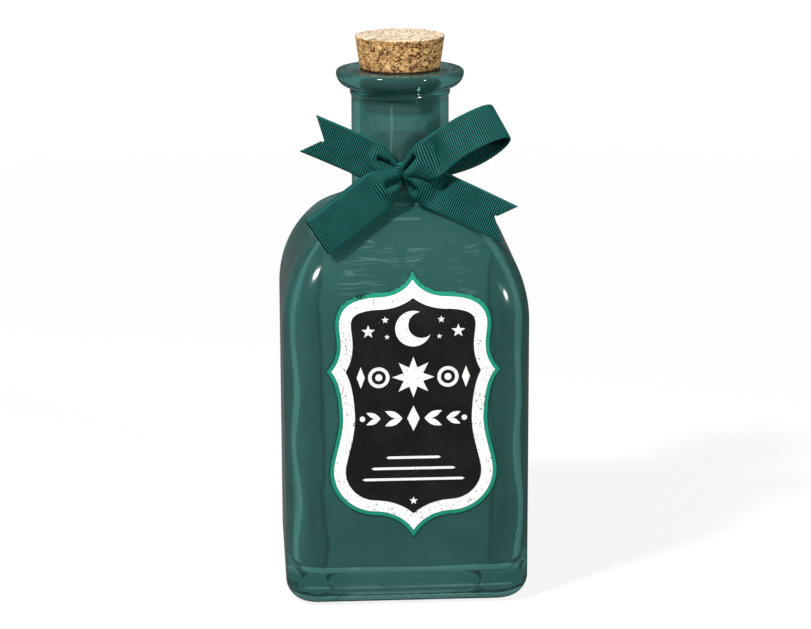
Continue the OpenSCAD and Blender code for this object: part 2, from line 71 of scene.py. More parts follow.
# Rows of points along each stretch of the glass, and places round an eighth of each row.
PUSH_UP_ROWS = 22
HEEL_ROWS = 15
WALL_ROWS = 26
SHOULDER_ROWS = 52
SWEEP_ROWS = 14
NECK_ROWS = 14
BEAD_ROWS = 12
LIP_ROWS = 22
LIP_EDGE_ROWS = 10
MOUTH_ROWS = 9
BORE_ROWS = 18
OCTANT_TURNS = 25

# Neck and lip.
NECK_RADIUS = 0.0135
BORE_RADIUS = 0.0112
LIP_RADIUS = 0.0177
LIP_HEIGHT = 0.005
LIP_EDGE = 0.001
MOUTH_EDGE = 0.0008
BEAD_OUT = 0.0004
BEAD_HEIGHT = 0.0015
BEAD_GAP = 0.0005

# Cork.
cork_low, cork_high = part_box("cork_stopper")
CORK_TAPER = math.radians(8.1)
CORK_BEVEL = 0.0003
CORK_MIDDLE = 0.0002
CORK_TURNS = 250
CORK_ROWS = {"bottom": 34, "side": 92, "top": 44}

# Label: its middle and size come from the frame.
label_low, label_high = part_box("front_label")
LABEL_X = (label_low[0] + label_high[0]) / 2
LABEL_Z = (label_low[2] + label_high[2]) / 2
LABEL_HALF_WIDTH = (label_high[0] - label_low[0]) / 2
LABEL_HALF_HEIGHT = (label_high[2] - label_low[2]) / 2
GREEN_EDGE = 0.0013
WHITE_BAND = 0.0032
GLUE = 0.00005
PAPER_TOP = 0.00025
PRINT = 0.0001

# Ribbon.
RIBBON_WIDTH = 0.011
RIBBON_THICKNESS = 0.0007
CLOTH_SHARE = 0.8
RIB_PITCH = 0.00059
RIB_HEIGHT = 0.00009
NECK_CLEARANCE = 0.00025
KNOT_RISE = 0.0056
KNOT_WIDTH = 0.0034
KNOT_HEIGHT = 0.0049
KNOT_FULLNESS = 0.45
BAND_FRONT_HEIGHT = 0.0044
BAND_BACK_HEIGHT = 0.0094
BAND_RISE = 0.002
BAND_RIDGE = 0.00035
BOW_TURN = math.radians(3.5)
LOBE_START = 0.0006
SQUEEZE = 0.34
OPENING_REACH = 0.009
PUFF = 0.0025
PUFF_REACH = 0.0105
PUFF_LEAN = 0.8
PUFF_START = 0.0011
LAYER_GAP = 0.00053
LOOP_FULLNESS = 1.3
LOOP_HIDDEN = 0.02
ROLL_REACH = 0.022
NOTCH_DEPTH = 0.0048
SHOULDER_CLEARANCE = 0.0007
CREASE_DEPTH = 0.0028
CREASE_HALF_WIDTH = 0.0009
CREASE_LIP = 0.0004
DIP_REACH = 0.0122
DIP_WIDTH = 0.0019


def mesh_object(name, points, faces, smooth=True):
    """A new object at the origin from points and faces."""
    mesh = bpy.data.meshes.new(name)
    mesh.from_pydata([tuple(map(float, p)) for p in points], [], [tuple(map(int, f)) for f in faces])
    mesh.update()
    if smooth:
        mesh.shade_smooth()
    obj = bpy.data.objects.new(name, mesh)
    bpy.context.scene.collection.objects.link(obj)
    return obj


def as_plain_mesh(obj):
    """Turns what the modifiers make of obj into its own mesh, and removes them."""
    depsgraph = bpy.context.evaluated_depsgraph_get()
    made = bpy.data.meshes.new_from_object(obj.evaluated_get(depsgraph), preserve_all_data_layers=True,
                                           depsgraph=depsgraph)
    made.name = obj.name
    obj.modifiers.clear()
    obj.data = made


def dress(obj, body, node, material):
    """The piece stands for a frame node, rides on its body and takes its finish."""
    obj.data.materials.clear()
    obj.data.materials.append(material)
    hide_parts(node)
    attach(obj, body)


# Sections of the glass: [half width, corner radius, height], as in a maker's mould.
SHOULDER_CENTRE = BODY_HALF - SHOULDER_RADIUS


def sweep_top(arc, neck, sweep):
    """Height at which the hollow sweep beside the neck is upright."""
    return SHOULDER_HEIGHT + math.sqrt((arc + sweep) ** 2 - (neck + sweep - SHOULDER_CENTRE) ** 2)


NECK_FOOT = sweep_top(SHOULDER_RADIUS, NECK_RADIUS, SWEEP_RADIUS)


def sweep_start(arc, neck, sweep):
    """Angle of the shoulder arc where it meets the sweep."""
    return math.asin((sweep_top(arc, neck, sweep) - SHOULDER_HEIGHT) / (arc + sweep))


def smooth_share(share):
    share = np.clip(share, 0, 1)
    return share * share * (3 - 2 * share)


def section_corner(half, neck, corner):
    """Corner radius of a section: round at the neck, square below."""
    blend = smooth_share((half - neck) / ROUNDING_REACH)
    return min(half, corner * blend + half * (1 - blend))


def wall_sections(inset, neck, floor, heel, sweep):
    """Sections from the heel up to the foot of the neck, for the outside or for the hollow."""
    half = BODY_HALF - inset
    corner = CORNER_RADIUS - inset
    arc = SHOULDER_RADIUS - inset
    rows = []
    for angle in np.linspace(0, math.pi / 2, HEEL_ROWS):
        shrink = heel * (1 - math.sin(angle))
        rows.append((half - shrink, corner - shrink, floor + heel * (1 - math.cos(angle))))
    for z in np.linspace(floor + heel, SHOULDER_HEIGHT, WALL_ROWS)[1:-1]:
        rows.append((half, corner, z))
    first = sweep_start(arc, neck, sweep)
    for angle in np.linspace(0, first, SHOULDER_ROWS):
        h = SHOULDER_CENTRE + arc * math.cos(angle)
        rows.append((h, section_corner(h, neck, corner), SHOULDER_HEIGHT + arc * math.sin(angle)))
    top = sweep_top(arc, neck, sweep)
    for angle in np.linspace(first, 0, SWEEP_ROWS)[1:]:
        h = neck + sweep * (1 - math.cos(angle))
        rows.append((h, section_corner(h, neck, corner), top - sweep * math.sin(angle)))
    return rows


def round_rows(pairs):
    """Round sections from [radius, height] pairs."""
    return [(r, r, z) for r, z in pairs]


def arc_points(start, end, count):
    return np.linspace(math.radians(start), math.radians(end), count)


def base_sections():
    """The shallow hollow under the base and the flat ring that the bottle stands on."""
    push_radius = BODY_HALF - HEEL_RADIUS - STANDING_RING
    rows = round_rows([(push_radius * math.cos(a), PUSH_UP * math.sin(a))
                       for a in arc_points(88, 0, PUSH_UP_ROWS)])
    heel_half = BODY_HALF - HEEL_RADIUS
    heel_corner = CORNER_RADIUS - HEEL_RADIUS
    for share in (0.25, 0.5, 0.75, 0.97):
        rows.append((push_radius + (heel_half - push_radius) * share,
                     push_radius + (heel_corner - push_radius) * share, 0.0))
    return rows


def neck_sections():
    """Neck, thin bead ring, flared lip and mouth edge, as [radius, height] pairs."""
    lip_foot = GLASS_HEIGHT - LIP_HEIGHT
    bead_top = lip_foot - BEAD_GAP
    bead_middle = bead_top - BEAD_HEIGHT / 2
    pairs = [(NECK_RADIUS, z) for z in np.linspace(NECK_FOOT, bead_top - BEAD_HEIGHT, NECK_ROWS)[1:]]
    pairs += [(NECK_RADIUS + BEAD_OUT * math.cos(a), bead_middle + BEAD_HEIGHT / 2 * math.sin(a))
              for a in arc_points(-80, 80, BEAD_ROWS)]
    pairs += [(NECK_RADIUS, bead_top), (NECK_RADIUS, (bead_top + lip_foot) / 2)]
    lip_out = LIP_RADIUS - NECK_RADIUS
    lip_under = LIP_HEIGHT - LIP_EDGE
    pairs += [(NECK_RADIUS + lip_out * math.sin(a), lip_foot + lip_under * (1 - math.cos(a)))
              for a in arc_points(0, 90, LIP_ROWS)]
    pairs += [(LIP_RADIUS - LIP_EDGE * (1 - math.cos(a)), GLASS_HEIGHT - LIP_EDGE * (1 - math.sin(a)))
              for a in arc_points(0, 90, LIP_EDGE_ROWS)[1:]]
    mouth = BORE_RADIUS + MOUTH_EDGE
    pairs += [(mouth + (LIP_RADIUS - LIP_EDGE - mouth) * share, GLASS_HEIGHT) for share in (0.66, 0.33)]
    pairs += [(mouth - MOUTH_EDGE * math.cos(a), GLASS_HEIGHT - MOUTH_EDGE * (1 - math.sin(a)))
              for a in arc_points(90, 0, MOUTH_ROWS)]
    return round_rows(pairs)


def hollow_sections():
    """Bore, inner shoulders, inner walls and floor, from the mouth down to the middle of the floor."""
    rows = wall_sections(WALL, BORE_RADIUS, BASE_THICKNESS, INNER_HEEL, INNER_SWEEP_RADIUS)
    foot = rows[-1][2]
    bore = round_rows([(BORE_RADIUS, z)
                       for z in np.linspace(GLASS_HEIGHT - MOUTH_EDGE, foot, BORE_ROWS)[1:-1]])
    floor_half, floor_corner = rows[0][0], rows[0][1]
    floor = [(floor_half * share, floor_corner * share, BASE_THICKNESS) for share in (0.8, 0.55, 0.3, 0.08)]
    return bore + rows[::-1] + floor


def section_turns():
    """Angles round the axis, closest together at the rounded corners."""
    octant = 45 * np.sin(np.linspace(0, math.pi / 2, OCTANT_TURNS))[:-1]
    turns = []
    for side in range(4):
        turns += list(90 * side + octant)
        turns += list(90 * side + 90 - np.append(octant[1:], 45)[::-1])
    return np.radians(turns)


def wall_distance(half, corner, turns):
    """Distance from the axis to the wall of a rounded square section, along each turn."""
    c, s = np.abs(np.cos(turns)), np.abs(np.sin(turns))
    flat = half / np.maximum(c, s)
    middle = half - corner
    bend = middle * (c + s) + np.sqrt(np.maximum(corner ** 2 - (middle * (c - s)) ** 2, 0))
    return np.where(flat * np.minimum(c, s) > middle, bend, flat)


# Waves of the inner wall: [share, waves round the axis, radians for each metre of height, start].
WALL_WAVES = ((1.0, 2, 75, 0.4), (1.0, 5, -130, 1.3), (0.7, 9, 210, 2.1))


def uneven_wall(turns, z):
    """How far the inside of blown glass wanders, fading out at the floor and the neck."""
    fade = smooth_share((z - EVEN_BELOW) / FLOOR_FADE) * smooth_share((EVEN_ABOVE - z) / NECK_FADE)
    wander = sum(share * np.sin(around * turns + up * z + start) for share, around, up, start in WALL_WAVES)
    return WALL_UNEVENNESS * fade * wander


def ring_points(reach, turns, z):
    return np.stack([reach * np.cos(turns), reach * np.sin(turns), np.full(len(turns), z)], axis=1)


def capped_rings(name, first, rings, last):
    """A new object from rings of points, closed at either end round the first and the last point."""
    count = len(rings[0])
    points = [first, *np.concatenate(rings), last]
    end = len(points) - 1
    faces = [(0, 1 + (k + 1) % count, 1 + k) for k in range(count)]
    for a in range(1, end - count, count):
        faces += [(a + k, a + (k + 1) % count, a + count + (k + 1) % count, a + count + k)
                  for k in range(count)]
    faces += [(end - count + k, end - count + (k + 1) % count, end) for k in range(count)]
    return mesh_object(name, points, faces)


def make_glass():
    """One closed surface: up the outside to the mouth, then down the hollow to the middle of its floor."""
    outside = (base_sections() + wall_sections(0, NECK_RADIUS, 0, HEEL_RADIUS, SWEEP_RADIUS)
               + neck_sections())
    turns = section_turns()
    rings = [ring_points(wall_distance(half, corner, turns), turns, z) for half, corner, z in outside]
    rings += [ring_points(wall_distance(half, corner, turns) + uneven_wall(turns, z), turns, z)
              for half, corner, z in hollow_sections()]
    return capped_rings("teal_glass_bottle", (0, 0, PUSH_UP), rings, (0, 0, BASE_THICKNESS))


# Label shapes in the label's own plane: x to the right and z up from the label's middle.
LABEL_CURVES = [
    [(0, 1), (-0.06, 0.9), (-0.19, 0.845), (-0.39, 0.842)],
    [(-0.39, 0.842), (-0.62, 0.84), (-0.88, 0.8), (-0.89, 0.62)],
    [(-0.89, 0.62), (-0.895, 0.52), (-0.8, 0.4), (-1, 0.27)],
    [(-1, 0.27), (-0.88, 0.2), (-0.86, 0.06), (-0.85, -0.07)],
    [(-0.85, -0.07), (-0.845, -0.22), (-0.965, -0.38), (-0.96, -0.49)],
    [(-0.96, -0.49), (-0.955, -0.66), (-0.74, -0.81), (-0.45, -0.82)],
    [(-0.45, -0.82), (-0.24, -0.825), (-0.1, -0.88), (0, -1)]]


def curve_point(curve, t):
    a, b, c, d = (np.array(p) for p in curve)
    return a * (1 - t) ** 3 + 3 * b * t * (1 - t) ** 2 + 3 * c * t * t * (1 - t) + d * t ** 3


def label_outline():
    """Closed outline of the frame shape: the left half and its mirror image."""
    steps = (1 - np.cos(np.linspace(0, math.pi, 31)[:-1])) / 2
    left = [curve_point(curve, t) for curve in LABEL_CURVES for t in steps] + [np.array((0, -1.0))]
    right = [np.array((-p[0], p[1])) for p in left[1:-1]][::-1]
    return np.array(left + right) * (LABEL_HALF_WIDTH, LABEL_HALF_HEIGHT)


def cusp(a, b, c, d):
    """Where the line from a through b meets the line from c through d."""
    reach = np.linalg.solve(np.column_stack([b - a, c - d]), d - b)
    return b + (b - a) * reach[0]


def inset_outline(outline, inset):
    """The outline set in by a distance, with the corners that fold over taken out."""
    if inset == 0:
        return outline
    ahead = np.roll(outline, -1, axis=0) - outline
    ahead /= np.linalg.norm(ahead, axis=1)[:, None]
    inward = np.stack([-ahead[:, 1], ahead[:, 0]], axis=1)
    before = np.roll(inward, 1, axis=0)
    mitre = (inward + before) / (1 + (inward * before).sum(axis=1))[:, None]
    moved = outline + mitre * inset
    ends = np.roll(outline, -1, axis=0)
    run = ends - outline
    kept = []
    for k, p in enumerate(moved):
        share = np.clip(((p - outline) * run).sum(axis=1) / (run * run).sum(axis=1), 0, 1)
        nearest = np.linalg.norm(p - outline - run * share[:, None], axis=1).min()
        if abs(nearest - inset) < 5e-6:
            kept.append(k)
    points = []
    for k, after in zip(kept, kept[1:] + kept[:1]):
        points.append(moved[k])
        if (after - k) % len(moved) > 1:
            points.append(cusp(moved[k - 1], moved[k], moved[(after + 1) % len(moved)], moved[after]))
    return np.array(points)


def frame_field(inset, line=0.0005):
    """The label's frame shape, filled, with a second outline just inside its edge for the edge line."""
    outline = inset_outline(label_outline(), inset)
    inner = inset_outline(label_outline(), inset + line)
    split = len(outline)
    faces = [tuple(range(split)), tuple(range(split, split + len(inner)))]
    return [(np.concatenate([outline, inner]), faces)]


def star(radius, points=5, waist=0.42):
    turn = math.pi / points
    ring = np.array([(math.sin(-turn * i), math.cos(turn * i)) for i in range(2 * points)])
    reach = np.array([radius if i % 2 == 0 else radius * waist for i in range(2 * points)])
    return ring * reach[:, None], [tuple(range(2 * points))]


def disc(radius, count=36):
    turns = np.linspace(0, 2 * math.pi, count, endpoint=False)
    return np.stack([np.cos(turns), np.sin(turns)], axis=1) * radius, [tuple(range(count))]


def ring(radius, stroke, count=56):
    outer, inner = disc(radius, count)[0], disc(radius - stroke, count)[0]
    faces = [(k, (k + 1) % count, count + (k + 1) % count, count + k) for k in range(count)]
    return np.concatenate([outer, inner]), faces


def lozenge(half_width, half_height):
    corners = [(-half_width, 0), (0, -half_height), (half_width, 0), (0, half_height)]
    return np.array(corners), [(0, 1, 2, 3)]


def leaf(length, thickness, turn):
    share = np.linspace(0, 1, 13)
    bulge = thickness / 2 * np.sin(math.pi * share)
    rim = np.concatenate([np.stack([length * share, -bulge], axis=1),
                          np.stack([length * share, bulge], axis=1)[-2:0:-1]])
    c, s = math.cos(turn), math.sin(turn)
    return rim @ np.array([(c, s), (-s, c)]), [tuple(range(len(rim)))]


def pointed_bar(length, thickness):
    half, inner = thickness / 2, length / 2 - thickness
    return np.array([(-length / 2, 0), (-inner, -half), (inner, -half),
                     (length / 2, 0), (inner, half), (-inner, half)]), [tuple(range(6))]


# Heights of the label's rows above its middle, and the crescent: its radius and its bite as
# [across, up, radius].
SKY_ROW = 0.0219
SUNBURST_ROW = 0.0084
SPRIG_ROW = -0.0032
RULE_ROW = -0.0143
RULE_STEP = 0.0031
LAST_STAR = -0.0267
MOON_RADIUS = 0.0049
MOON_BITE = (0.00225, 0.001, 0.0036)


def moon():
    """Crescent that opens to the upper right."""
    bite = np.array(MOON_BITE[:2])
    away = math.atan2(bite[1], bite[0])
    gap = np.linalg.norm(bite)
    reach = (MOON_RADIUS ** 2 - MOON_BITE[2] ** 2 + gap ** 2) / (2 * gap)
    horn = math.acos(reach / MOON_RADIUS)
    inner = math.atan2(MOON_RADIUS * math.sin(horn), reach - gap)
    outer_turns = np.linspace(away + horn, away + 2 * math.pi - horn, 61)
    inner_turns = np.linspace(away - inner, away - 2 * math.pi + inner, 49)[1:-1]
    outer = np.stack([np.cos(outer_turns), np.sin(outer_turns)], axis=1) * MOON_RADIUS
    bitten = np.stack([np.cos(inner_turns), np.sin(inner_turns)], axis=1) * MOON_BITE[2] + bite
    rim = np.concatenate([outer, bitten])
    return rim, [tuple(range(len(rim)))]


def placed(shape, x, z):
    points, faces = shape
    return points + np.array((x, z)), faces


def both_sides(shape):
    """The shape and its mirror image."""
    points, faces = shape
    return [shape, (points * np.array((-1, 1)), [f[::-1] for f in faces])]


def night_sky():
    shapes = [moon()]
    for x, z, radius in ((0.0122, -0.0007, 0.0019), (0.0076, 0.0025, 0.001), (0.0071, -0.0022, 0.00075)):
        shapes += both_sides(placed(star(radius), x, z))
    return [placed(shape, 0, SKY_ROW) for shape in shapes]


def sunburst_row():
    shapes = [star(0.0057, points=8, waist=0.5)]
    shapes += both_sides(placed(ring(0.0029, 0.00095), 0.0094, 0))
    shapes += both_sides(placed(disc(0.00095), 0.0094, 0))
    shapes += both_sides(placed(lozenge(0.0011, 0.003), 0.0143, 0))
    return [placed(shape, 0, SUNBURST_ROW) for shape in shapes]


def sprig_row():
    shapes = [lozenge(0.0017, 0.0036)]
    for x, length, thickness in ((0.003, 0.0052, 0.0017), (0.009, 0.0042, 0.0014)):
        for turn in (-math.radians(24), math.radians(24)):
            shapes += both_sides(placed(leaf(length, thickness, turn), x, 0))
    shapes += both_sides(placed(disc(0.00075), 0.0139, 0))
    return [placed(shape, 0, SPRIG_ROW) for shape in shapes]


def fine_rules():
    lengths = (0.015, 0.023, 0.028)
    return [placed(pointed_bar(length, 0.0007), 0, RULE_ROW - RULE_STEP * i)
            for i, length in enumerate(lengths)]


def front_y(z, out):
    """Where the front of the glass lies at a height, moved out by a distance."""
    above = np.maximum(z - SHOULDER_HEIGHT, 0)
    return -(SHOULDER_CENTRE + np.sqrt((SHOULDER_RADIUS + out) ** 2 - above ** 2))


def flat_triangles(shapes):
    """Triangles of flat shapes on the label, cut at each millimetre of the shoulder so that they
    can bend."""
    bm = bmesh.new()
    for points, faces in shapes:
        corners = [Vector((LABEL_X + float(x), LABEL_Z + float(z))) for x, z in points]
        made = delaunay_2d_cdt(corners, [], faces, 1, 1e-7)
        verts = [bm.verts.new((x, 0, z)) for x, z in made[0]]
        for face, source in zip(made[2], made[5]):
            if source:
                bm.faces.new([verts[i] for i in face])
    highest = max(v.co.z for v in bm.verts)
    for z in np.arange(SHOULDER_HEIGHT, highest, 0.001):
        bmesh.ops.bisect_plane(bm, geom=bm.verts[:] + bm.edges[:] + bm.faces[:],
                               plane_co=(0, 0, z), plane_no=(0, 0, 1), dist=1e-7)
    bm.verts.index_update()
    points = np.array([v.co[:] for v in bm.verts])
    faces = [[v.index for v in f.verts] for f in bm.faces]
    bm.free()
    return points, faces


def facing_front(points, face):
    """The face with its corners running anticlockwise as seen from the front."""
    x, z = points[face, 0], points[face, 2]
    area = (x * np.roll(z, -1) - np.roll(x, -1) * z).sum()
    return face if area > 0 else face[::-1]


def printed_piece(name, shapes, inner, outer):
    """Thin plates of the given shapes that follow the glass front between two distances from it."""
    flat, faces = flat_triangles(shapes)
    front = [facing_front(flat, face) for face in faces]
    layers = []
    for out in (outer, inner):
        layer = flat.copy()
        layer[:, 1] = front_y(layer[:, 2], out)
        layers.append(layer)
    count = len(flat)
    back = [[count + i for i in reversed(face)] for face in front]
    edges = {(a, b) for face in front for a, b in zip(face, face[1:] + face[:1])}
    rim = sorted((a, b) for a, b in edges if (b, a) not in edges)
    walls = [(b, a, count + a, count + b) for a, b in rim]
    obj = mesh_object(name, np.concatenate(layers), front + back + walls)
    obj.data.set_sharp_from_angle(angle=math.radians(35))
    on_rim = np.zeros(2 * count, dtype=np.float32)
    on_rim[[k for a, b in rim for k in (a, count + a)]] = 1
    obj.data.attributes.new("rim", "FLOAT", "POINT").data.foreach_set("value", on_rim)
    return obj


# Ribbon: the lobes of the solid, finer, with puffs and creases beside the knot.
KNOT_Z = NECK_FOOT + KNOT_RISE
BAND_RADIUS = NECK_RADIUS + NECK_CLEARANCE
KNOT_FORWARD = BAND_RADIUS + RIBBON_THICKNESS - BAND_RIDGE + KNOT_WIDTH / 2
RIB_STEP = RIB_PITCH / 4
COLUMNS = 17


def ribbon_half(s):
    return RIBBON_WIDTH / 2 * (SQUEEZE + (1 - SQUEEZE) * smooth_share(s / OPENING_REACH))


def fold_height(s, dip):
    """Height of the puff beside the knot, and the dip that follows it."""
    share = np.clip((s - PUFF_START) / (PUFF_REACH - PUFF_START), 0, 1)
    puff = PUFF * np.sin(math.pi * share ** PUFF_LEAN)
    return puff - dip * np.exp(-((s - DIP_REACH) / DIP_WIDTH) ** 2)


def crease(s, v, fold):
    """A deep pinched valley beside the knot, with a raised lip on either side of it.
    fold is [start distance, start across, end distance, end across], in metres."""
    w = v * ribbon_half(s)
    start, end = np.array(fold[:2]), np.array(fold[2:])
    run = end - start
    share = np.clip(((s - start[0]) * run[0] + (w - start[1]) * run[1]) / (run @ run), 0, 1)
    away = np.hypot(s - start[0] - share * run[0], w - start[1] - share * run[1])
    opening = 0.4 + 0.6 * smooth_share(share / 0.6)
    valley = CREASE_DEPTH * np.exp(-(away / (CREASE_HALF_WIDTH * opening)) ** 2) * opening
    lip = CREASE_LIP * np.exp(-((away - 2.2 * CREASE_HALF_WIDTH) / CREASE_HALF_WIDTH) ** 2)
    return lip - valley


def lobe_frame(angle, lean):
    """Directions outwards, across the ribbon, and off its face."""
    along = np.array((math.cos(angle) * math.cos(lean), -math.sin(lean), math.sin(angle) * math.cos(lean)))
    across = np.array((-math.sin(angle), 0, math.cos(angle)))
    face = np.array((-math.cos(angle) * math.sin(lean), -math.cos(lean), -math.sin(angle) * math.sin(lean)))
    return along, across, face


def glass_half(z):
    """Half width of the glass at a height."""
    first = sweep_start(SHOULDER_RADIUS, NECK_RADIUS, SWEEP_RADIUS)
    start = SHOULDER_HEIGHT + SHOULDER_RADIUS * math.sin(first)
    if z < SHOULDER_HEIGHT:
        return BODY_HALF
    if z < start:
        return SHOULDER_CENTRE + math.sqrt(SHOULDER_RADIUS ** 2 - (z - SHOULDER_HEIGHT) ** 2)
    if z < NECK_FOOT:
        return NECK_RADIUS + SWEEP_RADIUS - math.sqrt(SWEEP_RADIUS ** 2 - (NECK_FOOT - z) ** 2)
    return NECK_RADIUS


def end_forward(reach, angle, opening):
    """Distance in front of the axis that a lobe's end needs to pass clear of the shoulder."""
    needs = []
    for share in np.arange(0.3, 1.001, 0.1):
        out = reach * share
        low = KNOT_Z + out * math.sin(angle) - float(ribbon_half(out)) * abs(math.cos(angle))
        back = opening * LOOP_FULLNESS * 2 * share * math.sqrt(max(1 - share, 0)) + RIBBON_THICKNESS / 2
        clear = glass_half(low) + SHOULDER_CLEARANCE + back
        here = (clear - out * math.cos(angle) * math.sin(BOW_TURN)) / math.cos(BOW_TURN)
        needs.append(KNOT_FORWARD + (here - KNOT_FORWARD) / share)
    return max(needs)


def strip_faces(rows, columns):
    """Faces of a grid of rows by columns of points."""
    i, k = np.meshgrid(np.arange(rows - 1), np.arange(columns - 1), indexing="ij")
    a = (i * columns + k).ravel()
    return np.stack([a, a + 1, a + columns + 1, a + columns], axis=1)


def loop_strip(reach, angle, forward, opening, roll, curl, slant, dip, fold):
    """A loop of ribbon: points, faces, distance along the ribbon, place across it."""
    rise = forward - KNOT_FORWARD
    length = math.hypot(reach, rise)
    along, across, face = lobe_frame(angle, math.asin(rise / length))

    def line(t):
        return np.stack([LOBE_START + (length - LOBE_START) * np.sin(math.pi * t) ** 2,
                         opening * LOOP_FULLNESS * np.sin(2 * math.pi * t) * np.sin(math.pi * t)
                         + LAYER_GAP * np.cos(math.pi * t)], axis=1)

    fine = np.linspace(LOOP_HIDDEN, 1 - LOOP_HIDDEN, 2000)
    run = line(fine)
    walked = np.concatenate([[0], np.cumsum(np.linalg.norm(np.diff(run, axis=0), axis=1))])
    distance = np.arange(0, walked[-1], RIB_STEP)
    rows = len(distance)
    t = np.interp(distance, walked, fine)
    run = line(t)
    ahead = line(t + 0.002) - line(t - 0.002)
    normal = np.stack([-ahead[:, 1], ahead[:, 0]], axis=1) / np.linalg.norm(ahead, axis=1)[:, None]
    v = np.linspace(-1, 1, COLUMNS)[None, :]
    s = run[:, :1]
    share = (s / length) ** 3
    front = (t < 0.5)[:, None]
    lift = np.where(front, fold_height(s, dip) * (1 - v * v) + crease(s, v, fold), 0)
    turn = roll * smooth_share(s / ROLL_REACH)
    out = s + normal[:, :1] * lift - slant * v * share
    side = v * ribbon_half(s) + curl * share
    off = run[:, 1:] + normal[:, 1:] * lift
    turned_across = across * np.cos(turn)[..., None] - face * np.sin(turn)[..., None]
    turned_face = face * np.cos(turn)[..., None] + across * np.sin(turn)[..., None]
    points = out[..., None] * along + side[..., None] * turned_across + off[..., None] * turned_face
    grid_along = np.repeat(distance[:, None], COLUMNS, axis=1)
    grid_across = np.repeat(v, rows, axis=0)
    return (points.reshape(-1, 3), strip_faces(rows, COLUMNS),
            grid_along.ravel(), grid_across.ravel())


def notched_strip(length):
    """Flat strip with a notched end, as [distance, place across] points and faces."""
    s = LOBE_START + np.arange(0, length - LOBE_START + RIB_STEP, RIB_STEP)
    v = np.linspace(-1, 1, COLUMNS)
    grid = np.stack(np.meshgrid(s, v, indexing="ij"), axis=2).reshape(-1, 2)
    bm = bmesh.new()
    corners = [bm.verts.new((a, b * RIBBON_WIDTH / 2, 0)) for a, b in grid]
    for f in strip_faces(len(s), COLUMNS):
        bm.faces.new([corners[i] for i in f])
    slope = NOTCH_DEPTH / (RIBBON_WIDTH / 2)
    for side in (-1, 1):
        half = [f for f in bm.faces if f.calc_center_median().y * side > 0
                and f.calc_center_median().x > length - NOTCH_DEPTH - RIBBON_WIDTH]
        edges = list({e for f in half for e in f.edges})
        verts = list({w for f in half for w in f.verts})
        bmesh.ops.bisect_plane(bm, geom=verts + edges + half, plane_co=(length - NOTCH_DEPTH, 0, 0),
                               plane_no=(1, -slope * side, 0), dist=1e-7, clear_outer=True)
    bm.verts.index_update()
    points = np.array([(w.co.x, w.co.y / (RIBBON_WIDTH / 2)) for w in bm.verts])
    faces = [[w.index for w in f.verts] for f in bm.faces]
    bm.free()
    return points, faces


def tail_strip(reach, angle, forward, wave, dip, fold):
    """A tail of ribbon with a notched end."""
    rise = forward - KNOT_FORWARD
    length = math.hypot(reach, rise)
    along, across, face = lobe_frame(angle, math.asin(rise / length))
    flat, faces = notched_strip(length)
    s, v = flat[:, 0], flat[:, 1]
    sway = wave * np.sin(2.2 * math.pi * s / length) * smooth_share((s - 0.006) / 0.01)
    lift = fold_height(s, dip) * (1 - v * v) + crease(s, v, fold) + sway
    points = (s[:, None] * along + (v * ribbon_half(s))[:, None] * across + lift[:, None] * face)
    return points, faces, s, v


def band_strip():
    """Gathered ribbon round the neck: narrow at the knot, nearly full width behind."""
    radius = BAND_RADIUS + RIBBON_THICKNESS / 2
    rows = int(2 * math.pi * radius / RIB_STEP)
    share = np.linspace(0, 1, rows)[:, None]
    v = np.linspace(-1, 1, COLUMNS)[None, :]
    turn = 2 * math.pi * share - math.pi / 2
    back = (1 - np.cos(2 * math.pi * share)) / 2
    height = BAND_FRONT_HEIGHT + (BAND_BACK_HEIGHT - BAND_FRONT_HEIGHT) * back
    middle = KNOT_Z + BAND_RISE * back
    pleat = BAND_RIDGE * (0.5 - 0.5 * np.cos(3 * math.pi * (v + 1) + 0.8 * np.sin(6 * turn)))
    r = radius - RIBBON_THICKNESS / 4 + pleat
    points = np.stack([r * np.cos(turn), r * np.sin(turn), middle + height * v / 2 + 0 * turn], axis=2)
    along = np.repeat(2 * math.pi * radius * share, COLUMNS, axis=1)
    across = np.repeat(v, rows, axis=0)
    return points.reshape(-1, 3), strip_faces(rows, COLUMNS), along.ravel(), across.ravel()


def knot_strip():
    """Ribbon drawn tight over the middle of the bow, with pleats down its length."""
    rise = np.linspace(-math.radians(76), math.radians(76), 40)[:, None]
    turn = np.linspace(0, 2 * math.pi, 49)[None, :]
    pleat = 1 - 0.07 * (0.5 + 0.5 * np.cos(5 * turn + 1.2 * rise + 0.4))
    r = KNOT_WIDTH / 2 * np.cos(rise) ** KNOT_FULLNESS * pleat
    z = KNOT_HEIGHT / 2 * np.sin(rise) + 0 * turn
    points = np.stack([r * np.cos(turn), r * np.sin(turn) - KNOT_FORWARD, z + KNOT_Z], axis=2)
    along = z + 0 * turn
    across = 0 * z
    return points.reshape(-1, 3), strip_faces(40, 49), along.ravel(), across.ravel()


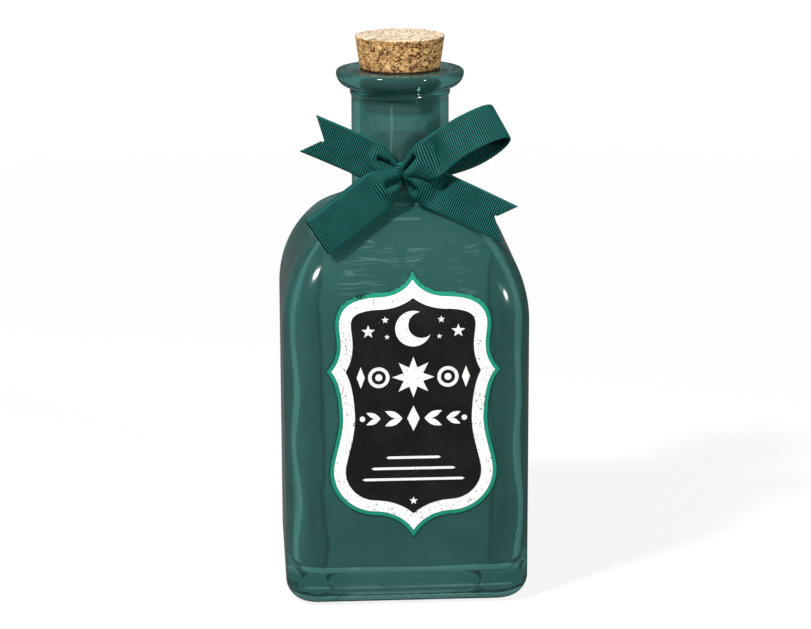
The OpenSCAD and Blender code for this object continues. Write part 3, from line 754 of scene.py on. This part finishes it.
def bow_strips():
    """All stretches of the ribbon: two loops, two tails, the band round the neck and the knot."""
    low_loop = {"reach": 0.0265, "angle": math.radians(213.3), "opening": 0.0013}
    low_tail = {"reach": 0.0323, "angle": math.radians(-22.9)}
    lobes = [
        loop_strip(reach=0.0306, angle=math.radians(24.7), forward=KNOT_FORWARD + 0.0038, opening=0.0045,
                   roll=math.radians(35), curl=0.0021, slant=0.0009, dip=0.0023,
                   fold=(0.0015, 0.0001, 0.0061, 0.0022)),
        loop_strip(**low_loop, forward=end_forward(**low_loop), roll=0, curl=0, slant=0, dip=0.0004,
                   fold=(0.0012, 0.0013, 0.0066, 0.0001)),
        tail_strip(reach=0.0275, angle=math.radians(155.6), forward=KNOT_FORWARD + 0.0015, wave=0.0003,
                   dip=0.0005, fold=(0.0016, -0.0009, 0.0070, -0.0012)),
        tail_strip(**low_tail, forward=end_forward(**low_tail, opening=0), wave=0.0002, dip=0.0013,
                   fold=(0.0018, -0.0009, 0.0057, -0.0025))]
    middle = np.array((0, -KNOT_FORWARD, KNOT_Z))
    lobes = [(points + middle, faces, along, across) for points, faces, along, across in lobes]
    return lobes + [band_strip(), knot_strip()]


def make_ribbon():
    points, faces, along, across = [], [], [], []
    start = 0
    for p, f, a, v in bow_strips():
        points.append(p)
        faces += [[start + int(i) for i in face] for face in f]
        along.append(a)
        across.append(v)
        start += len(p)
    points = np.concatenate(points)
    c, s = math.cos(-BOW_TURN), math.sin(-BOW_TURN)
    points = points @ np.array([(c, s, 0), (-s, c, 0), (0, 0, 1)])
    obj = mesh_object("grosgrain_ribbon_bow", points, faces)
    for name, values in (("along", along), ("across", across)):
        store = obj.data.attributes.new(name, "FLOAT", "POINT")
        store.data.foreach_set("value", np.concatenate(values).astype(np.float32))
    return obj


class Nodes:
    """Builds one node tree: fields are made by short calls and linked as they are made."""

    def __init__(self, tree):
        self.tree = tree

    def add(self, kind, inputs=None, **settings):
        node = self.tree.nodes.new(kind)
        for key, value in settings.items():
            setattr(node, key, value)
        for key, value in (inputs or {}).items():
            self.put(node.inputs[key], value)
        return node

    def put(self, socket, value):
        """Links a field to a socket, or sets a plain value there. Colours are red, green and blue."""
        if isinstance(value, bpy.types.NodeSocket):
            self.tree.links.new(value, socket)
        elif socket.type == "RGBA":
            socket.default_value = (*value, 1)
        else:
            socket.default_value = value

    def math(self, operation, *values, kind="ShaderNodeMath"):
        node = self.add(kind, operation=operation)
        for socket, value in zip(node.inputs, values):
            self.put(socket, value)
        return node.outputs[0]

    def vector(self, operation, *values):
        return self.math(operation, *values, kind="ShaderNodeVectorMath")

    def scaled(self, vector, factor):
        result = self.vector("SCALE", vector)
        self.put(result.node.inputs["Scale"], factor)
        return result

    def chain(self, operation, *values):
        """The operation on the first two values, then on its result and the next, and so on."""
        result = values[0]
        for value in values[1:]:
            result = self.math(operation, result, value)
        return result

    def product(self, *values):
        return self.chain("MULTIPLY", *values)

    def total(self, *values):
        return self.chain("ADD", *values)

    def most(self, *values):
        return self.chain("MAXIMUM", *values)

    def between(self, value, low, high, to_low=0.0, to_high=1.0):
        """to_low up to low, passing smoothly to to_high at high."""
        node = self.add("ShaderNodeMapRange", {"Value": value, "From Min": low, "From Max": high,
                                               "To Min": to_low, "To Max": to_high},
                        interpolation_type="SMOOTHSTEP")
        return node.outputs[0]

    def fall(self, value, low, high, top=1.0):
        """top up to low, fading to 0 at high."""
        return self.between(value, low, high, top, 0.0)

    def stretch(self, value, rise, fall, top=1.0):
        """top between two places and 0 outside them; rise and fall are the [low, high] of its ends."""
        return self.product(self.between(value, *rise), self.fall(value, *fall, top))

    def away(self, value, middle):
        return self.math("ABSOLUTE", self.math("SUBTRACT", value, middle))

    def line(self, value, middle, half_width):
        """1 where value is at the middle, fading to 0 at half_width from it."""
        return self.fall(self.away(value, middle), half_width * 0.3, half_width)

    def colour(self, share, first, second):
        """The first colour, with a share of the second."""
        node = self.add("ShaderNodeMix", data_type="RGBA")
        self.put(node.inputs[0], share)
        self.put(node.inputs[6], first)
        self.put(node.inputs[7], second)
        return node.outputs[2]

    def layered(self, base, *layers):
        """A base colour with others laid over it in turn, each [share, colour]."""
        for share, over in layers:
            base = self.colour(share, base, over)
        return base

    def noise(self, where, scale, detail=3.0, roughness=0.5, distortion=0.0):
        node = self.add("ShaderNodeTexNoise", {"Vector": where, "Scale": scale, "Detail": detail,
                                               "Roughness": roughness, "Distortion": distortion})
        return node.outputs[0]

    def cells(self, where, scale):
        """One colour for each cell."""
        return self.add("ShaderNodeTexVoronoi", {"Vector": where, "Scale": scale}).outputs["Color"]

    def cell_edges(self, where, scale):
        """Distance to the nearest edge between cells."""
        return self.add("ShaderNodeTexVoronoi", {"Vector": where, "Scale": scale},
                        feature="DISTANCE_TO_EDGE").outputs["Distance"]


def surface_tree(name, sizes):
    """Geometry tree with one geometry input and output and named sizes."""
    tree = bpy.data.node_groups.new(name, "GeometryNodeTree")
    tree.interface.new_socket("Geometry", in_out="INPUT", socket_type="NodeSocketGeometry")
    for label, value in sizes.items():
        socket = tree.interface.new_socket(label, in_out="INPUT", socket_type="NodeSocketFloat")
        socket.default_value = value
    tree.interface.new_socket("Geometry", in_out="OUTPUT", socket_type="NodeSocketGeometry")
    nodes = Nodes(tree)
    start = nodes.add("NodeGroupInput")
    return nodes, start


def end_surface_tree(nodes, start, lift, material):
    """Moves the surface off itself by lift, realizes it and gives it its material."""
    offset = nodes.scaled(nodes.add("GeometryNodeInputNormal").outputs[0], lift)
    moved = nodes.add("GeometryNodeSetPosition", {"Geometry": start.outputs["Geometry"], "Offset": offset})
    real = nodes.add("GeometryNodeRealizeInstances", {"Geometry": moved.outputs[0]})
    finish = nodes.add("GeometryNodeSetMaterial", {"Geometry": real.outputs[0], "Material": material})
    nodes.add("NodeGroupOutput", {"Geometry": finish.outputs[0]})


def apply_tree(obj, tree, sizes):
    """Runs a geometry tree on obj with the given sizes, and keeps the result as a plain mesh."""
    modifier = obj.modifiers.new(tree.name, "NODES")
    modifier.node_group = tree
    for item in tree.interface.items_tree:
        if item.name in sizes:
            modifier[item.identifier] = sizes[item.name]
    as_plain_mesh(obj)


RIB_SIZES = {"Rib Pitch": RIB_PITCH, "Rib Height": RIB_HEIGHT, "Selvedge": 0.94}
CORK_SIZES = {"Granule Size": 0.0013, "Seam Depth": 0.00012, "Pit Depth": 0.0005, "Seed": 7.0}
GRAIN_DEPTH = 0.00012


def rib_tree(material):
    """Raises the ribs of grosgrain on both faces of a ribbon that carries its length as 'along'."""
    nodes, start = surface_tree("grosgrain_ribs", RIB_SIZES)
    fields = [nodes.add("GeometryNodeInputNamedAttribute", {"Name": name}, data_type="FLOAT")
              for name in ("along", "across")]
    along, across = (field.outputs[0] for field in fields)
    phase = nodes.product(nodes.math("DIVIDE", along, start.outputs["Rib Pitch"]), 2 * math.pi)
    wave = nodes.product(nodes.math("COSINE", phase), start.outputs["Rib Height"])
    inside = nodes.math("LESS_THAN", nodes.math("ABSOLUTE", across), start.outputs["Selvedge"])
    end_surface_tree(nodes, start, nodes.product(wave, inside), material)
    return nodes.tree


def cork_tree(material):
    """Presses granule seams and pits into the cork's surface."""
    nodes, start = surface_tree("cork_granules", CORK_SIZES)
    place = nodes.add("GeometryNodeInputPosition").outputs[0]
    shift = nodes.add("ShaderNodeCombineXYZ", {"X": start.outputs["Seed"]}).outputs[0]
    in_granules = nodes.scaled(place, nodes.math("DIVIDE", 1.0, start.outputs["Granule Size"]))
    seeded = nodes.vector("ADD", in_granules, shift)
    bend = nodes.add("ShaderNodeTexNoise", {"Vector": seeded, "Scale": 0.9, "Detail": 2.0}).outputs[1]
    seam = nodes.fall(nodes.cell_edges(nodes.vector("ADD", seeded, bend), 1.0), 0.0, 0.12)
    pit = nodes.between(nodes.noise(seeded, 0.85, detail=3.0, roughness=0.6), 0.62, 0.72)
    grain = nodes.noise(seeded, 3.5, detail=2.0)
    depth = nodes.total(nodes.product(seam, start.outputs["Seam Depth"]),
                        nodes.product(pit, start.outputs["Pit Depth"]), nodes.product(grain, GRAIN_DEPTH))
    end_surface_tree(nodes, start, nodes.product(depth, -1.0), material)
    return nodes.tree


def make_cork():
    """Tapered cork with fine faces, ready for its granules."""
    bottom, top, radius = cork_low[2], cork_high[2], cork_high[0]
    slope = math.tan(CORK_TAPER)
    foot = radius - (top - bottom) * slope
    profile = [(r, bottom) for r in np.linspace(CORK_MIDDLE, foot - CORK_BEVEL, CORK_ROWS["bottom"])]
    profile += [(foot + (z - bottom) * slope, z)
                for z in np.linspace(bottom + CORK_BEVEL, top - CORK_BEVEL, CORK_ROWS["side"])]
    profile += [(r, top) for r in np.linspace(radius - CORK_BEVEL, CORK_MIDDLE, CORK_ROWS["top"])]
    turns = np.linspace(0, 2 * math.pi, CORK_TURNS, endpoint=False)
    rings = [ring_points(r, turns, z) for r, z in profile]
    return capped_rings("agglomerated_cork", (0, 0, bottom), rings, (0, 0, top))


def material_nodes(name):
    """A new material with its nodes, its shader and its object coordinates."""
    material = bpy.data.materials.new(name)
    material.use_nodes = True
    nodes = Nodes(material.node_tree)
    shader = material.node_tree.nodes["Principled BSDF"]
    where = nodes.add("ShaderNodeTexCoord").outputs["Object"]
    return material, nodes, shader, where


def finish_shader(nodes, shader, inputs, height, strength, distance):
    """Sets inputs of the shader, and a bump from the given height."""
    bump = nodes.add("ShaderNodeBump", {"Height": height, "Strength": strength, "Distance": distance})
    for key, value in {**inputs, "Normal": bump.outputs[0]}.items():
        nodes.put(shader.inputs[key], value)


class GlassPlace:
    """Where a point of the glass lies, as fields of its node tree."""

    def __init__(self, nodes, where):
        axes = nodes.add("ShaderNodeSeparateXYZ", {"Vector": where})
        self.where = where
        self.x = axes.outputs["X"]
        self.y = axes.outputs["Y"]
        self.height = axes.outputs["Z"]
        self.from_middle = nodes.math("ABSOLUTE", self.x)
        self.sideways = nodes.math("MINIMUM", self.from_middle, nodes.math("ABSOLUTE", self.y))
        self.slow = nodes.math("SUBTRACT", nodes.noise(where, 38.0, detail=2.0), 0.5)


# Heights between which the solid base passes into the walls.
BASE_TOP = (0.0088, 0.0105)


def painted_corner_shade(nodes, at):
    """Painted shade: wavy dark lines where the panels turn into the corners, each with a softer dark band
    beside it.
    """
    wandering = nodes.math("MULTIPLY_ADD", at.slow, 0.008, at.sideways)
    turn = BODY_HALF - CORNER_RADIUS
    line = nodes.fall(nodes.away(wandering, turn - 0.0015), 0.0, 0.0012, 0.8)
    band = nodes.fall(nodes.away(wandering, turn + 0.0005), 0.0008, 0.0038, 0.4)
    below_neck = nodes.fall(at.height, 0.094, 0.104)
    return nodes.product(nodes.most(line, band), below_neck, nodes.between(at.height, *BASE_TOP))


def heel_painted_lines_and_frost(nodes, at):
    """On the front of the heel: painted shade in its dark lines and mitres, its pale frosting, and a painted
    glint.
    """
    front = nodes.product(nodes.fall(at.y, -0.0265, -0.025), nodes.fall(at.from_middle, 0.0275, 0.0295))
    below_edge = nodes.fall(at.height, 0.0042, 0.0047)
    # Painted shade: dark mitre lines at the corners and dark lines across the heel.
    slanting = nodes.math("MULTIPLY_ADD", at.height, 0.66, at.from_middle)
    mitre = nodes.product(nodes.line(slanting, 0.0212, 0.0006), below_edge)
    upper_line = nodes.product(nodes.line(at.height, 0.0099, 0.0014), 0.5)
    dark = nodes.most(mitre, nodes.line(at.height, 0.0049, 0.0006), upper_line)
    grains = nodes.between(nodes.noise(at.where, 1300.0, detail=2.0), 0.52, 0.6, 0.0, 0.5)
    frosted = nodes.product(grains, below_edge, nodes.between(at.height, 0.0016, 0.0022),
                            nodes.fall(at.from_middle, 0.017, 0.0185))
    # Painted highlight: a pale glint line across the heel.
    glint = nodes.product(nodes.line(at.height, 0.0058, 0.0005), 0.5)
    return nodes.product(dark, front), nodes.product(nodes.most(frosted, glint), front)


def chill_wrinkles_and_highlights(nodes, at):
    """Fine wavy chill wrinkles across the front panel, on its shoulder and low on its wall, as painted
    highlight lines.
    """
    wavy = nodes.math("MULTIPLY_ADD", nodes.noise(at.where, 60.0, detail=2.0), 0.006, at.height)
    drawn = nodes.add("ShaderNodeCombineXYZ", {"X": nodes.product(at.x, 32.0),
                                               "Y": nodes.product(wavy, 640.0)}).outputs[0]
    lines = nodes.fall(nodes.cell_edges(drawn, 1.0), 0.012, 0.055, 0.75)
    here = nodes.between(nodes.noise(at.where, 150.0, detail=2.0), 0.5, 0.58)
    shoulder = nodes.stretch(at.height, (0.085, 0.089), (0.102, 0.104))
    low_wall = nodes.stretch(at.height, (0.0105, 0.0115), (0.0135, 0.0165), 0.8)
    return nodes.product(lines, nodes.fall(at.y, -0.026, -0.023), here, nodes.most(shoulder, low_wall),
                         nodes.fall(at.sideways, 0.017, 0.021))


def neck_highlight_streaks(nodes, at):
    """Painted highlights: a streak up the neck's front and two rings at its foot."""
    front = nodes.fall(at.y, -0.0122, -0.0118)
    # seam is a painted highlight streak.
    swayed = nodes.math("MULTIPLY_ADD", at.slow, 0.003, at.x)
    seam = nodes.product(nodes.line(swayed, -0.0028, 0.0004),
                         nodes.stretch(at.height, (0.116, 0.12), (0.1355, 0.1375)), front)
    rings = nodes.most(nodes.line(at.height, 0.1067, 0.0004), nodes.line(at.height, 0.1098, 0.0004))
    return nodes.most(seam, nodes.product(rings, front, nodes.fall(at.sideways, 0.003, 0.0055, 0.7)))


def glass_tint(nodes, at):
    """Tint of the clear glass, darker where solid, with painted light and shade: darker towards its right
    side, so paler at its left edge, and paler in the foot and in the neck.
    """
    cloudy = nodes.noise(at.where, 75.0, detail=4.0, roughness=0.6)
    walls = nodes.colour(nodes.between(cloudy, 0.3, 0.7), (0.086, 0.268, 0.248), (0.108, 0.3, 0.279))
    solid_glass = nodes.colour(nodes.between(at.sideways, 0.013, 0.021),
                               (0.078, 0.25, 0.232), (0.05, 0.19, 0.176))
    # Painted shade: the glass darkens towards its right side, less in the neck, so its left edge reads
    # paler.
    inward = nodes.product(nodes.between(at.x, -0.031, -0.014, 0.0, 0.37),
                           nodes.between(at.height, 0.108, 0.116, 1.0, 0.3))
    solid = nodes.most(nodes.fall(at.height, *BASE_TOP),
                       nodes.between(at.height, GLASS_HEIGHT - 0.0065, GLASS_HEIGHT - 0.0045))
    upper_heel = nodes.stretch(at.height, (0.0038, 0.0046), BASE_TOP, 0.55)
    # Painted light: the glass is paler low in its foot.
    foot = nodes.fall(at.height, 0.0034, 0.0042, 0.45)
    # Painted light: the neck's front is paler below the cork.
    neck_painted_shading = nodes.product(nodes.stretch(at.height, (0.108, 0.114), (0.1325, 0.1345), 0.4),
                            nodes.fall(at.from_middle, 0.0085, 0.0105))
    return nodes.layered(walls, (inward, (0.05, 0.185, 0.167)), (solid, solid_glass),
                         (upper_heel, (0.009, 0.07, 0.064)), (foot, (0.2, 0.46, 0.44)),
                         (neck_painted_shading, (0.17, 0.42, 0.4)))


def teal_glass():
    """Teal glass, a little milky, with painted shade in dark lines at its corners and heel, and pale marks
    on its front: painted highlights and the heel's frosting.
    """
    material, nodes, shader, where = material_nodes("teal_glass")
    at = GlassPlace(nodes, where)
    heel_painted_shade, heel_frost_and_painted_glint = heel_painted_lines_and_frost(nodes, at)
    # dark holds painted shade lines; pale holds painted highlights and the heel's frosting, and also raises
    # them faintly in the bump.
    dark = nodes.most(painted_corner_shade(nodes, at), heel_painted_shade)
    pale = nodes.most(chill_wrinkles_and_highlights(nodes, at), neck_highlight_streaks(nodes, at), heel_frost_and_painted_glint)
    tint = nodes.layered(glass_tint(nodes, at), (dark, (0.035, 0.135, 0.122)),
                         (nodes.product(pale, 0.6), (0.42, 0.66, 0.63)))
    on_shoulder = nodes.product(nodes.stretch(at.height, (0.07, 0.074), (0.094, 0.1)),
                                nodes.between(at.sideways, 0.016, 0.019))
    ripple = nodes.noise(where, 55.0, detail=1.0)
    stipple = nodes.product(nodes.noise(where, 1100.0, detail=2.0),
                            nodes.fall(at.height, 0.0045, 0.0065, 0.25))
    roughness = nodes.math("MULTIPLY_ADD", on_shoulder, 0.07, 0.06)
    shine = nodes.math("MULTIPLY_ADD", on_shoulder, -0.185, 0.2)
    finish_shader(nodes, shader, {"Base Color": tint, "IOR": 1.5, "Transmission Weight": 0.78,
                                  "Roughness": roughness, "Specular IOR Level": shine},
                  nodes.total(ripple, nodes.product(pale, 0.05), stipple), 0.3, 0.0005)
    return material


def agglomerated_cork():
    """Pressed granules of cork: each with its own tan, dark broken seams and pits, a pale cut top."""
    material, nodes, shader, where = material_nodes("agglomerated_cork")
    bend = nodes.add("ShaderNodeTexNoise", {"Vector": where, "Scale": 420.0, "Detail": 3.0}).outputs[1]
    bent = nodes.vector("MULTIPLY_ADD", bend, (0.0019, 0.0019, 0.0019), where)
    grade = nodes.add("ShaderNodeSeparateColor", {"Color": nodes.cells(bent, 640.0)}).outputs
    height = nodes.add("ShaderNodeSeparateXYZ", {"Vector": where}).outputs["Z"]
    tan = nodes.layered(nodes.colour(grade[0], (0.27, 0.066, 0.011), (1.0, 0.62, 0.25)),
                        (nodes.product(grade[1], 0.4), (0.62, 0.23, 0.055)))
    fine = nodes.noise(where, 1150.0, detail=5.0, roughness=0.8)
    flecked = nodes.colour(nodes.between(fine, 0.38, 0.6), (0.12, 0.024, 0.003), (1.0, 0.71, 0.31))
    broken = nodes.between(nodes.noise(where, 520.0, detail=4.0, roughness=0.7), 0.52, 0.6)
    seam = nodes.product(nodes.fall(nodes.cell_edges(bent, 640.0), 0.02, 0.13), broken)
    flattened = nodes.add("ShaderNodeMapping", {"Vector": where, "Scale": (1.0, 1.0, 1.7)}).outputs[0]
    holes = nodes.noise(flattened, 560.0, detail=4.0, roughness=0.75, distortion=1.2)
    dark = nodes.most(seam, nodes.between(holes, 0.54, 0.585))
    # Painted shade: the side darkens towards the glass lip and more inside the neck, with a painted contact
    # shadow line at the lip.
    low = nodes.fall(height, GLASS_HEIGHT, GLASS_HEIGHT + 0.0022, 0.5)
    neck_painted_shading = nodes.fall(height, GLASS_HEIGHT - 0.0006, GLASS_HEIGHT, 0.6)
    painted_lip_shadow = nodes.line(height, GLASS_HEIGHT + 0.0001, 0.0006)
    side = nodes.layered(nodes.colour(0.5, tan, flecked),
                         (nodes.product(dark, 0.94), (0.07, 0.019, 0.005)),
                         (low, (0.09, 0.032, 0.012)), (neck_painted_shading, (0.04, 0.02, 0.01)),
                         (painted_lip_shadow, (0.04, 0.018, 0.009)))
    cream = nodes.colour(nodes.between(fine, 0.36, 0.62), (0.64, 0.42, 0.2), (1.0, 0.91, 0.75))
    specks = nodes.between(nodes.noise(where, 800.0, detail=4.0, roughness=0.7), 0.57, 0.61)
    top = nodes.layered(cream, (nodes.product(grade[0], 0.25), (0.85, 0.66, 0.4)),
                        (nodes.product(specks, 0.8), (0.2, 0.085, 0.03)))
    on_top = nodes.between(height, cork_high[2] - 0.0004, cork_high[2] - 0.0002)
    finish_shader(nodes, shader, {"Base Color": nodes.colour(on_top, side, top), "Roughness": 0.9,
                                  "Specular IOR Level": 0.15},
                  nodes.math("SUBTRACT", fine, nodes.product(dark, 1.2)), 0.85, 0.0004)
    return material


def grosgrain():
    """Ribbed cloth: ridges of woven thread with painted shade in the grooves between them, and a plain
    selvedge.
    """
    material, nodes, shader, where = material_nodes("teal_grosgrain")
    along, across = (nodes.add("ShaderNodeAttribute", attribute_name=name).outputs["Fac"]
                     for name in ("along", "across"))
    wave = nodes.math("COSINE", nodes.product(along, 2 * math.pi / RIB_PITCH))
    rib = nodes.between(wave, -0.4, 0.6)
    threads = nodes.add("ShaderNodeCombineXYZ", {"X": nodes.product(along, 300.0),
                                                 "Y": nodes.product(across, 26.0)}).outputs[0]
    weave = nodes.noise(threads, 2.2, detail=2.0)
    mottled = nodes.between(nodes.noise(where, 240.0, detail=3.0), 0.35, 0.7, 0.0, 0.3)
    thread = nodes.colour(nodes.between(weave, 0.35, 0.65),
                          (0.0092, 0.12, 0.106), (0.0155, 0.165, 0.145))
    ridge = nodes.colour(mottled, thread, (0.003, 0.05, 0.043))
    edge = nodes.between(nodes.math("ABSOLUTE", across), 0.93, 0.96)
    # The near-black base colour is painted shade in the grooves.
    cloth = nodes.layered((0.0006, 0.0095, 0.0083), (rib, ridge), (edge, (0.009, 0.098, 0.086)))
    roughness = nodes.between(weave, 0.3, 0.7, 0.5, 0.72)
    finish_shader(nodes, shader, {"Base Color": cloth, "Roughness": roughness, "Specular IOR Level": 0.12},
                  nodes.total(rib, nodes.product(weave, 0.6)), 0.5, 0.0001)
    return material


SCUFF_X = LABEL_X - 0.0146
SCUFF_Z = 0.0886


def printed_paper(name, ink, speck, speck_share, edge=None):
    """Satin printed paper with fine specks of wear, speck_share of it. With an edge colour it also has a
    darker line along its rim and one scuffed place."""
    material, nodes, shader, where = material_nodes(name)
    stretched = nodes.add("ShaderNodeMapping", {"Vector": where, "Scale": (1.0, 1.0, 0.7)}).outputs[0]
    fine = nodes.noise(stretched, 2300.0, detail=1.0)
    clusters = nodes.noise(where, 330.0, detail=2.0)
    reach = nodes.math("MULTIPLY_ADD", clusters, -0.16, 0.815 - speck_share)
    marks = nodes.between(nodes.math("SUBTRACT", fine, reach), 0.0, 0.02)
    cloudy = nodes.noise(where, 130.0, detail=4.0, roughness=0.6)
    colour = nodes.layered(ink, (nodes.between(cloudy, 0.35, 0.7, 0.0, 0.04), speck),
                           (nodes.product(marks, 0.85), speck))
    if edge:
        rim = nodes.add("ShaderNodeAttribute", attribute_name="rim").outputs["Fac"]
        scuff = nodes.vector("DISTANCE", where, (SCUFF_X, front_y(SCUFF_Z, PAPER_TOP), SCUFF_Z)).node
        torn = nodes.product(nodes.fall(scuff.outputs["Value"], 0.0006, 0.0026),
                             nodes.between(nodes.noise(where, 1300.0, detail=3.0, roughness=0.7), 0.42, 0.5))
        colour = nodes.layered(colour, (nodes.between(rim, 0.4, 0.6), edge), (torn, (0.004, 0.012, 0.01)))
    finish_shader(nodes, shader, {"Base Color": colour, "Specular IOR Level": 0.25,
                                  "Roughness": nodes.between(cloudy, 0.3, 0.7, 0.42, 0.6)},
                  fine, 0.15, 0.00005)
    return material


# Strength of the studio's white as light and as mirrored in the object. The floor lies a hair below the
# bottle's foot, so that the two are never in one plane.
STUDIO_LEVEL = 0.31
REFLECTED_LEVEL = 0.115
FLOOR_HALF = 6.0
FLOOR_HEIGHT = -0.0001
LAMP_SIZE = 0.13


def shown_ray(nodes):
    """1 for the rays that show the backdrop, straight or through the glass, and 0 for the rest."""
    path = nodes.add("ShaderNodeLightPath")
    return nodes.most(path.outputs["Is Camera Ray"], path.outputs["Is Transmission Ray"])


def studio_white(nodes, lit):
    """Mixes plain white into a backdrop for the rays that show it, and keeps some of its shadow."""
    white = nodes.add("ShaderNodeEmission", {"Color": (1, 1, 1), "Strength": 1.0})
    mixed = nodes.add("ShaderNodeMixShader")
    where = nodes.add("ShaderNodeTexCoord").outputs["Object"]
    away = nodes.vector("LENGTH", where).node.outputs["Value"]
    share = nodes.product(shown_ray(nodes), nodes.between(away, 0.1, 0.8, 0.85, 1.0))
    for socket, value in zip(mixed.inputs, (share, lit, white.outputs[0])):
        nodes.put(socket, value)
    return mixed.outputs[0]


def make_floor():
    material, nodes, shader, _ = material_nodes("pale_floor")
    grey = nodes.colour(shown_ray(nodes), (0.12, 0.12, 0.12), (0.92, 0.92, 0.92))
    for key, value in {"Base Color": grey, "Roughness": 0.9, "Specular IOR Level": 0.1}.items():
        nodes.put(shader.inputs[key], value)
    output = material.node_tree.nodes["Material Output"]
    nodes.put(output.inputs["Surface"], studio_white(nodes, shader.outputs[0]))
    corners = [(x * FLOOR_HALF, y * FLOOR_HALF, FLOOR_HEIGHT)
               for x, y in ((-1, -1), (1, -1), (1, 1), (-1, 1))]
    floor = mesh_object("pale_floor", corners, [(0, 1, 2, 3)], smooth=False)
    floor.data.materials.append(material)


def make_world():
    """White where it is seen, and softer levels where it lights the object or is mirrored in it."""
    world = bpy.data.worlds.new("studio")
    bpy.context.scene.world = world
    world.use_nodes = True
    world.node_tree.nodes.clear()
    nodes = Nodes(world.node_tree)
    seen = shown_ray(nodes)
    glossy = nodes.add("ShaderNodeLightPath").outputs["Is Glossy Ray"]
    level = nodes.math("MULTIPLY_ADD", glossy, REFLECTED_LEVEL - STUDIO_LEVEL, STUDIO_LEVEL)
    strength = nodes.most(seen, level)
    background = nodes.add("ShaderNodeBackground", {"Color": (1, 1, 1), "Strength": strength})
    nodes.add("ShaderNodeOutputWorld", {"Surface": background.outputs[0]})


def area_lamp(name, place, target, power):
    lamp = bpy.data.lights.new(name, "AREA")
    lamp.shape = "DISK"
    lamp.size = LAMP_SIZE
    lamp.energy = power
    obj = bpy.data.objects.new(name, lamp)
    obj.location = place
    obj.rotation_euler = (Vector(target) - Vector(place)).to_track_quat("-Z", "Y").to_euler()
    bpy.context.scene.collection.objects.link(obj)


def make_lamps():
    middle = (0, 0, 0.08)
    area_lamp("key_softbox", (-0.65, -0.6, 0.95), middle, 19.0)
    area_lamp("fill_softbox", (0.75, -0.8, 0.45), middle, 7.0)


CAMERA_PLACE = Vector((-0.0462, -0.7547, 0.2615))
CAMERA_TARGET = Vector((0.00136, 0.0, 0.07485))
CAMERA_ROLL = math.radians(0.16)
CAMERA_LENS = 122.4


def make_camera():
    data = bpy.data.cameras.new("camera")
    data.lens = CAMERA_LENS
    data.sensor_width = 36.0
    data.clip_start = 0.01
    camera = bpy.data.objects.new("camera", data)
    aim = (CAMERA_TARGET - CAMERA_PLACE).to_track_quat("-Z", "Y").to_matrix().to_4x4()
    camera.matrix_world = Matrix.Translation(CAMERA_PLACE) @ aim @ Matrix.Rotation(-CAMERA_ROLL, 4, "Z")
    bpy.context.scene.collection.objects.link(camera)
    bpy.context.scene.camera = camera


def build_object():
    """Makes every piece, gives it its finish, and ties it to its node and body in the frame."""
    dress(make_glass(), "bottle", "glass_bottle", teal_glass())
    cork = make_cork()
    cork_finish = agglomerated_cork()
    apply_tree(cork, cork_tree(cork_finish), CORK_SIZES)
    dress(cork, "cork", "cork_stopper", cork_finish)
    ribbon = make_ribbon()
    ribbon_finish = grosgrain()
    thick = ribbon.modifiers.new("cloth_thickness", "SOLIDIFY")
    thick.thickness = RIBBON_THICKNESS * CLOTH_SHARE
    thick.offset = 0
    as_plain_mesh(ribbon)
    apply_tree(ribbon, rib_tree(ribbon_finish), RIB_SIZES)
    dress(ribbon, "bottle", "ribbon_bow", ribbon_finish)
    white_top = PAPER_TOP + PRINT
    black_top = white_top + PRINT
    cream_top = black_top + PRINT
    label_parts = [
        ("label_paper", "front_label", "label_edge", frame_field(0), GLUE, PAPER_TOP,
         printed_paper("green_print", (0.008, 0.25, 0.16), (0.003, 0.03, 0.02), 0.03,
                       edge=(0.003, 0.045, 0.034))),
        ("label_white", "label_white_band", "label_white", frame_field(GREEN_EDGE), PAPER_TOP, white_top,
         printed_paper("white_print", (0.94, 0.94, 0.93), (0.03, 0.027, 0.027), 0.07)),
        ("label_black", "label_black_field", "label_black", frame_field(GREEN_EDGE + WHITE_BAND),
         white_top, black_top,
         printed_paper("black_print", (0.0055, 0.0058, 0.0052), (0.05, 0.05, 0.045), 0.0)),
        ("label_night_sky", "label_moon_and_stars", "label_cream",
         night_sky() + sunburst_row() + sprig_row() + fine_rules() + [placed(star(0.00115), 0, LAST_STAR)],
         black_top, cream_top,
         printed_paper("cream_print", (0.88, 0.88, 0.85), (0.05, 0.05, 0.045), 0.05))]
    for name, node, slot_name, shapes, inner, outer, finish in label_parts:
        dress(printed_piece(name, shapes, inner, outer), "bottle", node, finish)


bpy.context.scene.view_settings.view_transform = "Standard"
make_camera()
make_world()
make_lamps()
make_floor()
build_object()
